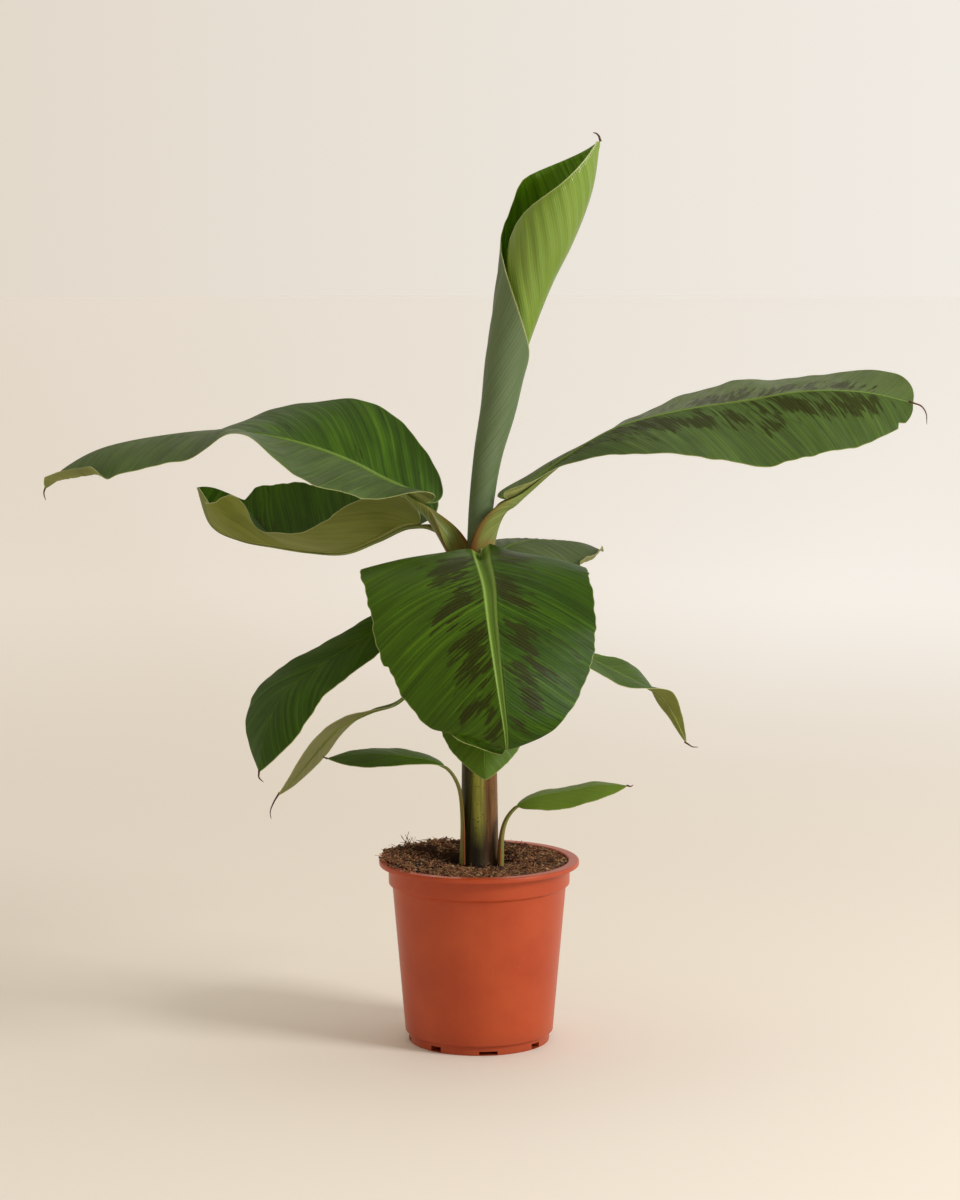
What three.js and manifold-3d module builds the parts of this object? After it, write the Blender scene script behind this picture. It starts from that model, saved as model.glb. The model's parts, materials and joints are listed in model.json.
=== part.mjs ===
// Young banana plant in a nursery pot. Millimetres, +Z up. The origin is the middle of the pot's underside,
// the front is -Y. Every leaf is a thin blade on a channelled stalk, and all the stalks clasp one pseudostem.
import * as THREE from 'three';
import { mergeVertices } from 'three/addons/utils/BufferGeometryUtils.js';
import Module from 'manifold-3d';

// ---- driving dimensions ----
const GAP = 0.3; // between touching pieces
const POT_HEIGHT = 220;
const RIM_RADIUS = 120;
const LIP_WIDTH = 11;
const LIP_HEIGHT = 6;
const BAND_HEIGHT = 22; // straight collar under the lip
const BAND_STEP = 4.5;
const BODY_RADIUS_TOP = 104;
const BODY_RADIUS_FOOT = 89;
const FOOT_RADIUS = 84.5;
const FOOT_HEIGHT = 12;
const WALL = 3;
const FLOOR = 4;
const NOTCH_COUNT = 8; // drainage notches round the foot, wide flat ones and narrow tall ones in turn
const NOTCH_FIRST = -83; // degrees from +X
const NOTCH_WIDE = { length: 22, height: 2 };
const NOTCH_NARROW = { length: 12, height: 3.5 };
const NOTCH_DEPTH = 3;
const SOIL_LEVEL = 210;
const SOIL_HEAP = 6;
const SOIL_EDGE = 2; // the compost stands this much above its level patch where it meets the pot
const SOIL_PAD_RADIUS = 50; // level patch that the stems stand on
const STEM_RADIUS_SOIL = 22;
const STEM_RADIUS_CROWN = 17;
const CROWN_LEVEL = 590;
const SPEAR_LEVEL = 645; // top of the sheath round the rolled leaf
const BLADE_THICKNESS = 2.2;
const BLADE_ACROSS = 6; // facets from margin to margin, fewer in the small blades
const LEAST_WIDTH = 2.5; // half width of a blade at its very base and tip
// The foot of each stalk, up to its cut, belongs to the pseudostem. Radii are at the stem, at the cut and at
// the blade.
const STALK = { foot: 48, atStem: 11, atCut: 8, atBlade: 5.5 };
const SLENDER_STALK = { foot: 105, atStem: 8, atCut: 5, atBlade: 5.5 }; // the small leaf low on the left
const SUCKER_STALK = { atSoil: 5, atBlade: 4 }; // the small leaf on the right stands in the compost by itself

// Each leaf: azimuth in degrees from +X, spine as [out, up, side] from the stem's axis, the share of the
// spine where the blade begins, the blade's half width, how its outline swells and ends, and keys spaced
// evenly from the blade's base to its tip: lift and curl of either half in degrees, roll of the whole, sweep
// of the veins.
const LEAVES = [
  {
    name: 'left_high', azimuth: 187, bladeFrom: 0.235, halfWidth: 112, stations: 13,
    spine: [
      [0, 560], [45, 600], [95, 655], [160, 702], [226, 725], [300, 737], [370, 732], [440, 718],
      [485, 695], [508, 672],
    ],
    outline: { swell: 0.25, peak: 0.4, end: 0.7 },
    lift: { left: [-35, -32, -28, 4, 0, -5, -8, -12, -10], right: [45, 58, 50, 22, -5, -15, -15, -15, -10] },
    curl: { left: [-12, -12, -12, 0, -10, -20, -20, -20, -20], right: [-5] },
    share: { left: [0.35, 0.6, 0.8, 0.9, 1, 1, 1, 1, 1], right: [1] },
    sweep: [-0.7, -0.35, 0, 0.1, 0.2],
  },
  {
    name: 'left_cupped', azimuth: 148, bladeFrom: 0.22, halfWidth: 95, stations: 12,
    spine: [
      [0, 560], [75, 618], [150, 597], [200, 590], [255, 590], [305, 592], [345, 602], [385, 625],
      [410, 668],
    ],
    outline: { swell: 0.25, peak: 0.5, end: 0.6 },
    lift: { left: [10, 14, 20, 18, 12, 12, 25, 40, 50], right: [40, 48, 50, 46, 42, 38, 35, 38, 45] },
    curl: { left: [10], right: [10] },
    share: { left: [1], right: [1] },
    sweep: [-0.7, -0.3, 0, 0.1, 0.2],
  },
  {
    name: 'right_high', azimuth: 5, bladeFrom: 0.17, halfWidth: 115, stations: 13,
    spine: [
      [0, 570], [45, 640], [100, 702], [165, 738], [240, 757], [315, 768], [390, 779], [460, 777],
      [520, 764],
    ],
    outline: { swell: 0.25, peak: 0.45, end: 0.55 },
    lift: { left: [30, 25, 12, 7, 10, 10, 4, 15, 60], right: [10, -15, -12, -17, -27, -38, -42, -45, -50] },
    curl: { left: [-5], right: [-8] },
    share: { left: [0.5, 0.2, 0.5, 0.9, 1, 1, 1, 1, 1], right: [0.15, 0.12, 0.6, 0.92, 0.95, 1, 1, 1, 1] },
    sweep: [-0.6, -0.3, 0, 0.1, 0.2],
  },
  {
    name: 'front', azimuth: -88, bladeFrom: 0.12, halfWidth: 132, stations: 13,
    spine: [
      [0, 565], [60, 591], [115, 592], [170, 570, 5], [215, 536, 7], [246, 495, 11], [263, 452, 16],
      [268, 420, 20], [258, 398, 22], [235, 392, 23],
    ],
    outline: { swell: 0.22, peak: 0.45, end: 0.9 },
    lift: { left: [8, 0, -8, -12, -10], right: [8, 0, -8, -12, -10] },
    curl: { left: [-15], right: [-15] },
    share: { left: [1], right: [1] },
    sweep: [-0.9, -0.3, 0, 0.1, 0.2],
  },
  {
    name: 'front_low', azimuth: -88, bladeFrom: 0.3, halfWidth: 56, stations: 10,
    spine: [
      [0, 455], [45, 490], [90, 485], [130, 452], [165, 415], [192, 380], [203, 352],
    ],
    outline: { swell: 0.4, peak: 0.45, end: 0.9 },
    lift: { left: [-10], right: [-10] },
    curl: { left: [-20], right: [-20] },
    share: { left: [1], right: [1] },
    sweep: [-0.5, -0.3, 0, 0.1, 0.2],
  },
  {
    name: 'back_right', azimuth: 50, bladeFrom: 0.2, halfWidth: 54, stations: 10,
    spine: [
      [0, 545], [45, 588], [95, 596], [150, 592], [200, 585], [240, 572],
    ],
    outline: { swell: 0.35, peak: 0.4, end: 1 },
    lift: { left: [5], right: [-20, -25, -30, -20] },
    curl: { left: [-20], right: [-30] },
    share: { left: [1], right: [1] },
    sweep: [-0.5, -0.3, 0, 0.1, 0.2],
  },
  {
    name: 'back', azimuth: 102, bladeFrom: 0.2, halfWidth: 80, stations: 11,
    spine: [
      [0, 530], [50, 568], [110, 575], [170, 560], [225, 530], [265, 490],
    ],
    outline: { swell: 0.35, peak: 0.4, end: 0.8 },
    lift: { left: [-5], right: [-5] },
    curl: { left: [-20], right: [-20] },
    share: { left: [1], right: [1] },
    sweep: [-0.5, -0.3, 0, 0.1, 0.2],
  },
  {
    name: 'left_low', azimuth: 215, bladeFrom: 0.2, halfWidth: 58, stations: 12,
    spine: [
      [0, 480], [60, 530], [115, 518], [165, 498], [215, 476], [256, 455], [280, 435], [294, 410],
      [302, 385], [306, 356],
    ],
    outline: { swell: 0.3, peak: 0.65, end: 1 },
    lift: { left: [-5], right: [10, 10, 5, -5] },
    curl: { left: [-10], right: [-10] },
    share: { left: [0.6, 0.7, 0.85, 1.1, 1.1], right: [0.6, 0.7, 0.85, 1.1, 1.1] },
    sweep: [-0.5, -0.3, 0, 0.1, 0.2],
  },
  {
    name: 'left_folded', azimuth: 160, bladeFrom: 0.33, halfWidth: 22, stations: 10, across: 4,
    spine: [
      [0, 385], [40, 425], [75, 428], [107, 403], [142, 390], [182, 367], [216, 331], [244, 298],
      [263, 280],
    ],
    outline: { swell: 0.3, peak: 0.5, end: 0.9 },
    lift: { left: [10, 20, 30, 30], right: [10, 20, 30, 30] },
    curl: { left: [0], right: [0] },
    share: { left: [1], right: [1] },
    sweep: [0.1],
    roll: [-30, -20, 20, 30, 20],
  },
  {
    name: 'right_low', azimuth: 20, bladeFrom: 0.28, halfWidth: 38, stations: 13,
    spine: [
      [0, 470], [45, 512], [90, 500], [143, 460], [180, 434], [210, 418], [228, 405], [242, 388],
      [256, 368], [275, 345],
    ],
    outline: { swell: 0.3, peak: 0.45, end: 0.8 },
    lift: { left: [12], right: [12] },
    curl: { left: [-10], right: [-10] },
    share: { left: [1], right: [1] },
    sweep: [-0.5, -0.3, 0, 0.1, 0.2],
    roll: [30, 32, 30, 20, 0, -10, 0],
  },
  {
    name: 'base_left', azimuth: 180, bladeFrom: 0.48, halfWidth: 32, stations: 10, across: 4,
    spine: [
      [20, 212, 18], [21, 275, 18], [27, 315, 18], [45, 338, 18], [85, 347, 18], [130, 350, 18],
      [181, 345, 18],
    ],
    outline: { swell: 0.4, peak: 0.45, end: 0.9 },
    lift: { left: [-12], right: [5] },
    curl: { left: [-10], right: [-10] },
    share: { left: [1], right: [1] },
    sweep: [0.1],
    roll: [-5],
  },
  {
    name: 'base_right', azimuth: 5, bladeFrom: 0.38, halfWidth: 30, stations: 10, across: 4,
    spine: [
      [24, SOIL_LEVEL + GAP, -22], [27, 258, -22], [38, 283, -22], [62, 297, -22], [106, 305, -22],
      [142, 311, -22], [176, 310, -22],
    ],
    outline: { swell: 0.4, peak: 0.45, end: 0.9 },
    lift: { left: [0], right: [-20] },
    curl: { left: [-10], right: [-10] },
    share: { left: [1], right: [1] },
    sweep: [0.1],
    roll: [5],
  },
];

// The newest leaf is still a scroll: both halves wind round a leaning axis, the outer one over the inner one.
const SPEAR = {
  axis: [
    [2, 5, SPEAR_LEVEL + 2], [10, 6, 705], [21, 7, 759], [30, 8, 812], [43, 8, 866], [57, 8, 919],
    [73, 8, 971], [90, 8, 1025], [97, 8, 1077],
  ],
  radius: [11, 14, 17, 20, 25, 32, 41, 44, 45],
  turnOuter: [380, 400, 390, 370, 291, 225, 160, 138, 30], // degrees that either half winds round the axis
  turnInner: [300, 300, 290, 260, 220, 180, 143, 85, 20],
  layerStep: 4, // each half winds out or in by this much in half a turn
  stations: 13,
  across: 30,
};

// ---- shared shape functions ----
const rad = THREE.MathUtils.degToRad;

/** Value at share t (0 to 1) of evenly spaced keys, on a smooth Catmull-Rom curve. */
function along(keys, t) {
  if (keys.length === 1) return keys[0];
  const last = keys.length - 1;
  const x = Math.min(Math.max(t, 0), 1) * last;
  const i = Math.min(Math.floor(x), last - 1);
  const f = x - i;
  const k1 = keys[i];
  const k2 = keys[i + 1];
  const k0 = i > 0 ? keys[i - 1] : 2 * k1 - k2;
  const k3 = i + 2 <= last ? keys[i + 2] : 2 * k2 - k1;
  const bend = 2 * k0 - 5 * k1 + 4 * k2 - k3;
  return 0.5 * (2 * k1 + (k2 - k0) * f + bend * f * f + (3 * (k1 - k2) + k3 - k0) * f ** 3);
}

/** Spine of a leaf with a frame at any share of its length: tangent, left side and upper normal. */
class Spine {
  constructor(points, side) {
    this.curve = new THREE.CatmullRomCurve3(points, false, 'catmullrom', 0.5);
    this.side = side;
    this.length = this.curve.getLength();
  }

  at(t) {
    const inside = Math.min(Math.max(t, 0), 1);
    const tangent = this.curve.getTangentAt(inside);
    const point = this.curve.getPointAt(inside).addScaledVector(tangent, (t - inside) * this.length);
    const left = this.side.clone().addScaledVector(tangent, -this.side.dot(tangent)).normalize();
    const up = tangent.clone().cross(left);
    return { point, tangent, left, up };
  }
}

function leafSpine(leaf) {
  const a = rad(leaf.azimuth);
  const out = new THREE.Vector3(Math.cos(a), Math.sin(a), 0);
  const side = new THREE.Vector3(-Math.sin(a), Math.cos(a), 0);
  const points = leaf.spine.map(([away, up, aside = 0]) => (
    new THREE.Vector3(0, 0, up).addScaledVector(out, away).addScaledVector(side, aside)
  ));
  return new Spine(points, side);
}

/** Share of the full half width at b, 0 at the blade's base and 1 at its tip. */
function outlineShare({ swell, peak, end }, b) {
  const rise = Math.sqrt(1 - (1 - Math.min(b / swell, 1)) ** 2);
  const fall = Math.min(Math.max((b - peak) / (1 - peak), 0), 1);
  return rise * (1 - fall ** 2.2) ** end;
}

/** Point of a leaf's middle surface: b runs from base to tip, q from -1 (right margin) to 1 (left margin). */
function leafPoint(leaf, spine, b, q) {
  const half = q >= 0 ? 'left' : 'right';
  const a = Math.abs(q);
  const fullWidth = leaf.halfWidth * along(leaf.share[half], b);
  const width = Math.max(fullWidth * outlineShare(leaf.outline, b), LEAST_WIDTH);
  const shift = (along(leaf.sweep, b) * (width - LEAST_WIDTH) * a ** 1.5) / spine.length;
  const frame = spine.at(leaf.bladeFrom + (1 - leaf.bladeFrom) * b + shift);
  const roll = rad(along(leaf.roll ?? [0], b));
  const left = frame.left.clone().multiplyScalar(Math.cos(roll)).addScaledVector(frame.up, Math.sin(roll));
  const up = frame.up.clone().multiplyScalar(Math.cos(roll)).addScaledVector(frame.left, -Math.sin(roll));
  const bend = (rad(along(leaf.curl[half], b)) * a) / 2;
  const angle = rad(along(leaf.lift[half], b)) + bend;
  const reach = width * a * (Math.abs(bend) > 1e-6 ? Math.sin(bend) / bend : 1);
  return frame.point
    .addScaledVector(left, Math.sign(q) * reach * Math.cos(angle))
    .addScaledVector(up, reach * Math.sin(angle));
}

/** Point of the rolled leaf's middle surface, with the same b and q; q > 0 is the outer half. */
function spearPoint(spine, b, q) {
  const frame = spine.at(b);
  const turn = along(q >= 0 ? SPEAR.turnOuter : SPEAR.turnInner, b) * q;
  const radius = along(SPEAR.radius, b) + (SPEAR.layerStep * turn) / 180;
  return frame.point
    .addScaledVector(frame.up, -radius * Math.cos(rad(turn)))
    .addScaledVector(frame.left, radius * Math.sin(rad(turn)));
}

/** A subdivided slab bent onto surface(b, q), with an even thickness. */
function bladeGeometry(surface, across, stations) {
  const slab = new THREE.BoxGeometry(2, 1, 1, across, stations, 1);
  slab.deleteAttribute('normal');
  slab.deleteAttribute('uv');
  const geometry = mergeVertices(slab);
  const positions = geometry.attributes.position;
  const step = 0.01;
  for (let i = 0; i < positions.count; i++) {
    const q = positions.getX(i);
    const b = positions.getY(i) + 0.5;
    const b0 = Math.max(b - step, 0);
    const b1 = Math.min(b + step, 1);
    const q0 = Math.max(q - step, -1);
    const q1 = Math.min(q + step, 1);
    const alongBlade = surface(b1, q).sub(surface(b0, q));
    const acrossBlade = surface(b, q1).sub(surface(b, q0));
    const normal = alongBlade.cross(acrossBlade).normalize();
    const point = surface(b, q).addScaledVector(normal, positions.getZ(i) * BLADE_THICKNESS);
    positions.setXYZ(i, point.x, point.y, point.z);
  }
  return facingOut(geometry);
}

/** A round stalk along a spine, from share t0 to t1, with its radius at both ends. */
function stalkGeometry(spine, [t0, t1], [radius0, radius1], sides = 8, steps = 5) {
  const post = new THREE.CylinderGeometry(1, 1, 1, sides, steps);
  post.deleteAttribute('normal');
  post.deleteAttribute('uv');
  const geometry = mergeVertices(post);
  const positions = geometry.attributes.position;
  for (let i = 0; i < positions.count; i++) {
    const share = positions.getY(i) + 0.5;
    const frame = spine.at(THREE.MathUtils.lerp(t0, t1, share));
    const radius = THREE.MathUtils.lerp(radius0, radius1, Math.sqrt(share));
    const point = frame.point
      .addScaledVector(frame.left, positions.getX(i) * radius)
      .addScaledVector(frame.up, positions.getZ(i) * radius);
    positions.setXYZ(i, point.x, point.y, point.z);
  }
  return facingOut(geometry);
}

/** Turns a closed geometry's triangles over when they point inwards. */
function facingOut(geometry) {
  const positions = geometry.attributes.position;
  const index = geometry.index;
  const corner = (i) => new THREE.Vector3().fromBufferAttribute(positions, index.getX(i));
  let volume = 0; // six times the volume enclosed
  for (let i = 0; i < index.count; i += 3) {
    volume += corner(i).dot(corner(i + 1).cross(corner(i + 2)));
  }
  if (volume < 0) {
    for (let i = 0; i < index.count; i += 3) {
      const first = index.getX(i);
      index.setX(i, index.getX(i + 1));
      index.setX(i + 1, first);
    }
  }
  return geometry;
}

// ---- booleans ----
const wasm = await Module();
wasm.setup();

function toSolid(source) {
  const bare = source.clone();
  bare.deleteAttribute('normal');
  bare.deleteAttribute('uv');
  const merged = mergeVertices(bare, 1e-4);
  return new wasm.Manifold(new wasm.Mesh({
    numProp: 3,
    vertProperties: new Float32Array(merged.attributes.position.array),
    triVerts: new Uint32Array(merged.index.array),
  }));
}

function toGeometry(solid) {
  const mesh = solid.getMesh();
  const geometry = new THREE.BufferGeometry();
  geometry.setAttribute('position', new THREE.BufferAttribute(new Float32Array(mesh.vertProperties), 3));
  geometry.setIndex(new THREE.BufferAttribute(new Uint32Array(mesh.triVerts), 1));
  return geometry;
}

// ---- materials ----
const plastic = new THREE.MeshStandardMaterial({ color: '#a9472a', roughness: 0.45, metalness: 0 });
const peat = new THREE.MeshStandardMaterial({ color: '#3c241a', roughness: 0.95, metalness: 0 });
const sheath = new THREE.MeshStandardMaterial({ color: '#6d7433', roughness: 0.55, metalness: 0 });
const stalk = new THREE.MeshStandardMaterial({ color: '#8f9a4a', roughness: 0.5, metalness: 0 });
const tissue = new THREE.MeshStandardMaterial({ color: '#3f6a2a', roughness: 0.5, metalness: 0 });

const plant = new THREE.Group();

function addPiece(name, geometry, material) {
  const mesh = new THREE.Mesh(geometry, material.clone());
  mesh.name = name;
  plant.add(mesh);
}

// ---- pot ----
function lathe(profile, segments) {
  const turned = new THREE.LatheGeometry(profile.map(([r, z]) => new THREE.Vector2(r, z)), segments);
  turned.rotateX(Math.PI / 2);
  turned.deleteAttribute('normal');
  turned.deleteAttribute('uv');
  return facingOut(mergeVertices(turned, 1e-4));
}

const bandRadius = BODY_RADIUS_TOP + BAND_STEP;
const bandTop = POT_HEIGHT - LIP_HEIGHT;
const bandFoot = bandTop - BAND_HEIGHT;
const potProfile = [
  [0, 0],
  [FOOT_RADIUS, 0],
  [FOOT_RADIUS, FOOT_HEIGHT - 1],
  [BODY_RADIUS_FOOT, FOOT_HEIGHT],
  [BODY_RADIUS_TOP, bandFoot - 3],
  [bandRadius, bandFoot],
  [bandRadius + 0.5, bandTop],
  [RIM_RADIUS - 1, bandTop],
  [RIM_RADIUS, bandTop + 1.5],
  [RIM_RADIUS, POT_HEIGHT - 2.5],
  [RIM_RADIUS - 2.5, POT_HEIGHT],
  [RIM_RADIUS - LIP_WIDTH, POT_HEIGHT],
  [RIM_RADIUS - LIP_WIDTH - 2, POT_HEIGHT - 2],
  [bandRadius - WALL, bandTop - 3],
  [bandRadius - WALL, bandFoot],
  [BODY_RADIUS_TOP - WALL, bandFoot - 5],
  [BODY_RADIUS_FOOT - WALL, FLOOR],
  [0, FLOOR],
];

function potGeometry() {
  let body = toSolid(lathe(potProfile, 48));
  for (let i = 0; i < NOTCH_COUNT; i++) {
    const size = i % 2 === 0 ? NOTCH_WIDE : NOTCH_NARROW;
    // the box's middle lies on the foot's lower edge
    const notch = new THREE.BoxGeometry(2 * NOTCH_DEPTH, size.length, 2 * size.height);
    notch.translate(FOOT_RADIUS, 0, 0);
    notch.rotateZ((i / NOTCH_COUNT) * 2 * Math.PI + rad(NOTCH_FIRST));
    body = body.subtract(toSolid(notch));
  }
  return toGeometry(body);
}

addPiece('pot', potGeometry(), plastic);

// ---- soil ----
const soilProfile = [
  [0, FLOOR + GAP],
  [BODY_RADIUS_FOOT - WALL - GAP, FLOOR + GAP],
  [BODY_RADIUS_TOP - WALL - GAP, bandFoot - 5],
  [bandRadius - WALL - GAP, bandFoot],
  [bandRadius - WALL - GAP, SOIL_LEVEL + SOIL_EDGE],
  [SOIL_PAD_RADIUS + 42, SOIL_LEVEL + SOIL_HEAP * 0.8],
  [SOIL_PAD_RADIUS + 22, SOIL_LEVEL + SOIL_HEAP],
  [SOIL_PAD_RADIUS + 6, SOIL_LEVEL + SOIL_HEAP * 0.6],
  [SOIL_PAD_RADIUS, SOIL_LEVEL],
  [0, SOIL_LEVEL],
];
addPiece('soil', lathe(soilProfile, 40), peat);

// ---- pseudostem with the foot of every stalk ----
const SHEATH_OVERLAP = 60; // the sheath round the rolled leaf starts this far below the crown
const SHEATH_RADIUS_TOP = 14.5;
const toPoints = (keys) => keys.map(([x, y, z]) => new THREE.Vector3(x, y, z));
const stemCurve = new Spine(
  toPoints([[0, 0, SOIL_LEVEL + GAP], [0, 0, 400], [0, 0, CROWN_LEVEL]]),
  new THREE.Vector3(1, 0, 0),
);
const columnCurve = new Spine(
  toPoints([[0, 0, CROWN_LEVEL - SHEATH_OVERLAP], [0, 3, 610], [2, 5, SPEAR_LEVEL]]),
  new THREE.Vector3(1, 0, 0),
);

let stem = toSolid(stalkGeometry(stemCurve, [0, 1], [STEM_RADIUS_SOIL, STEM_RADIUS_CROWN], 20, 4));
stem = stem.add(toSolid(stalkGeometry(columnCurve, [0, 1], [STEM_RADIUS_CROWN, SHEATH_RADIUS_TOP], 16, 3)));

for (const leaf of LEAVES) {
  const spine = leafSpine(leaf);
  let geometry;
  if (leaf.name === 'base_right') {
    geometry = stalkGeometry(spine, [0, leaf.bladeFrom], [SUCKER_STALK.atSoil, SUCKER_STALK.atBlade]);
  } else {
    const size = leaf.name === 'base_left' ? SLENDER_STALK : STALK;
    const cut = size.foot / spine.length;
    stem = stem.add(toSolid(stalkGeometry(spine, [0, cut], [size.atStem, size.atCut], 8, 3)));
    geometry = stalkGeometry(spine, [cut + GAP / spine.length, leaf.bladeFrom], [size.atCut, size.atBlade]);
  }
  addPiece(`stalk_${leaf.name}`, geometry, stalk);
  // the blade starts a little after its stalk ends
  const blade = { ...leaf, bladeFrom: leaf.bladeFrom + (3 * GAP) / spine.length };
  const surface = (b, q) => leafPoint(blade, spine, b, q);
  addPiece(`leaf_${leaf.name}`, bladeGeometry(surface, leaf.across ?? BLADE_ACROSS, leaf.stations), tissue);
}
addPiece('pseudostem', toGeometry(stem), sheath);

// ---- rolled leaf ----
const spearSpine = new Spine(toPoints(SPEAR.axis), new THREE.Vector3(0, 1, 0));
const scroll = (b, q) => spearPoint(spearSpine, b, q);
addPiece('leaf_rolled', bladeGeometry(scroll, SPEAR.across, SPEAR.stations), tissue);

export default plant;
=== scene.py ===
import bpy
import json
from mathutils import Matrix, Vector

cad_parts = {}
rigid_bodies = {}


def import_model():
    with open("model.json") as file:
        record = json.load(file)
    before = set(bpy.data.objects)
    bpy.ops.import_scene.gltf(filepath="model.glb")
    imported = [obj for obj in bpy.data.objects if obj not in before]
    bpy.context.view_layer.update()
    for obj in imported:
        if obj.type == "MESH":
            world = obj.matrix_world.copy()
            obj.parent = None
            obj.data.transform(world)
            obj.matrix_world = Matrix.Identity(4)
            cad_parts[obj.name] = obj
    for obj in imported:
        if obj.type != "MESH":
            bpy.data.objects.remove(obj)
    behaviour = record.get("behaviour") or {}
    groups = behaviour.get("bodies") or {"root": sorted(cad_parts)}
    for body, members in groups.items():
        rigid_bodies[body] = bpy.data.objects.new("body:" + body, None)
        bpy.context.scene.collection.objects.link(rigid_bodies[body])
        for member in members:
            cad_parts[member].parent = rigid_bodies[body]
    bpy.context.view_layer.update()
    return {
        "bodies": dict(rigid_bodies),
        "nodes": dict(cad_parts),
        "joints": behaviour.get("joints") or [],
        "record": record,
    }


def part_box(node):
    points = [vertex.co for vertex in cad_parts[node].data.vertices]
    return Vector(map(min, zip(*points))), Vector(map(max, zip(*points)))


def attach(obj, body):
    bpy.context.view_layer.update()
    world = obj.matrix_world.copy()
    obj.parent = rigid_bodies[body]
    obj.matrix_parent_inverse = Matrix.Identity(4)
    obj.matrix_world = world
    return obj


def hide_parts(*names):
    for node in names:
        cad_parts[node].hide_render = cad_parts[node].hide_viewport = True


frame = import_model()

import json
import math

import bmesh
import bpy
import numpy as np
from mathutils import Quaternion, Vector

# Young banana plant in a terracotta-coloured nursery pot. Sizes are millimetres, which MM turns to metres.
MM = 0.001
SEED = 7
rng = np.random.default_rng(SEED)

POT_LOW, POT_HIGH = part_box("pot")
POT_HEIGHT = (POT_HIGH.z - POT_LOW.z) / MM
RIM_RADIUS = (POT_HIGH.x - POT_LOW.x) / 2 / MM
LIP_HEIGHT = 6
LIP_WIDTH = 11
BAND_HEIGHT = 22
BAND_RADIUS = 108.5
BODY_RADIUS_TOP = 104
BODY_RADIUS_FOOT = 89
FOOT_RADIUS = 84.5
FOOT_HEIGHT = 12
POT_WALL = 2.2
WALL_STEPS = 14
POT_SEGMENTS = 144
NOTCH_COUNT = 8
NOTCH_FIRST = -83  # degrees from +X
NOTCH_DEPTH = 16
NOTCH_FLOOR = 0.9  # the notches begin above this
NOTCHES = ((0.125, 5), (0.085, 7))  # half width in radians and height of the two kinds, which take turns
SOIL_LEVEL = 210
INNER_FLOOR = SOIL_LEVEL - 40  # the pot is solid below this, under the soil
STEM_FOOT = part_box("pseudostem")[0].z / MM
BLADE_THICKNESS = 0.55
WELD = 0.00001  # metres within which two vertices become one

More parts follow.
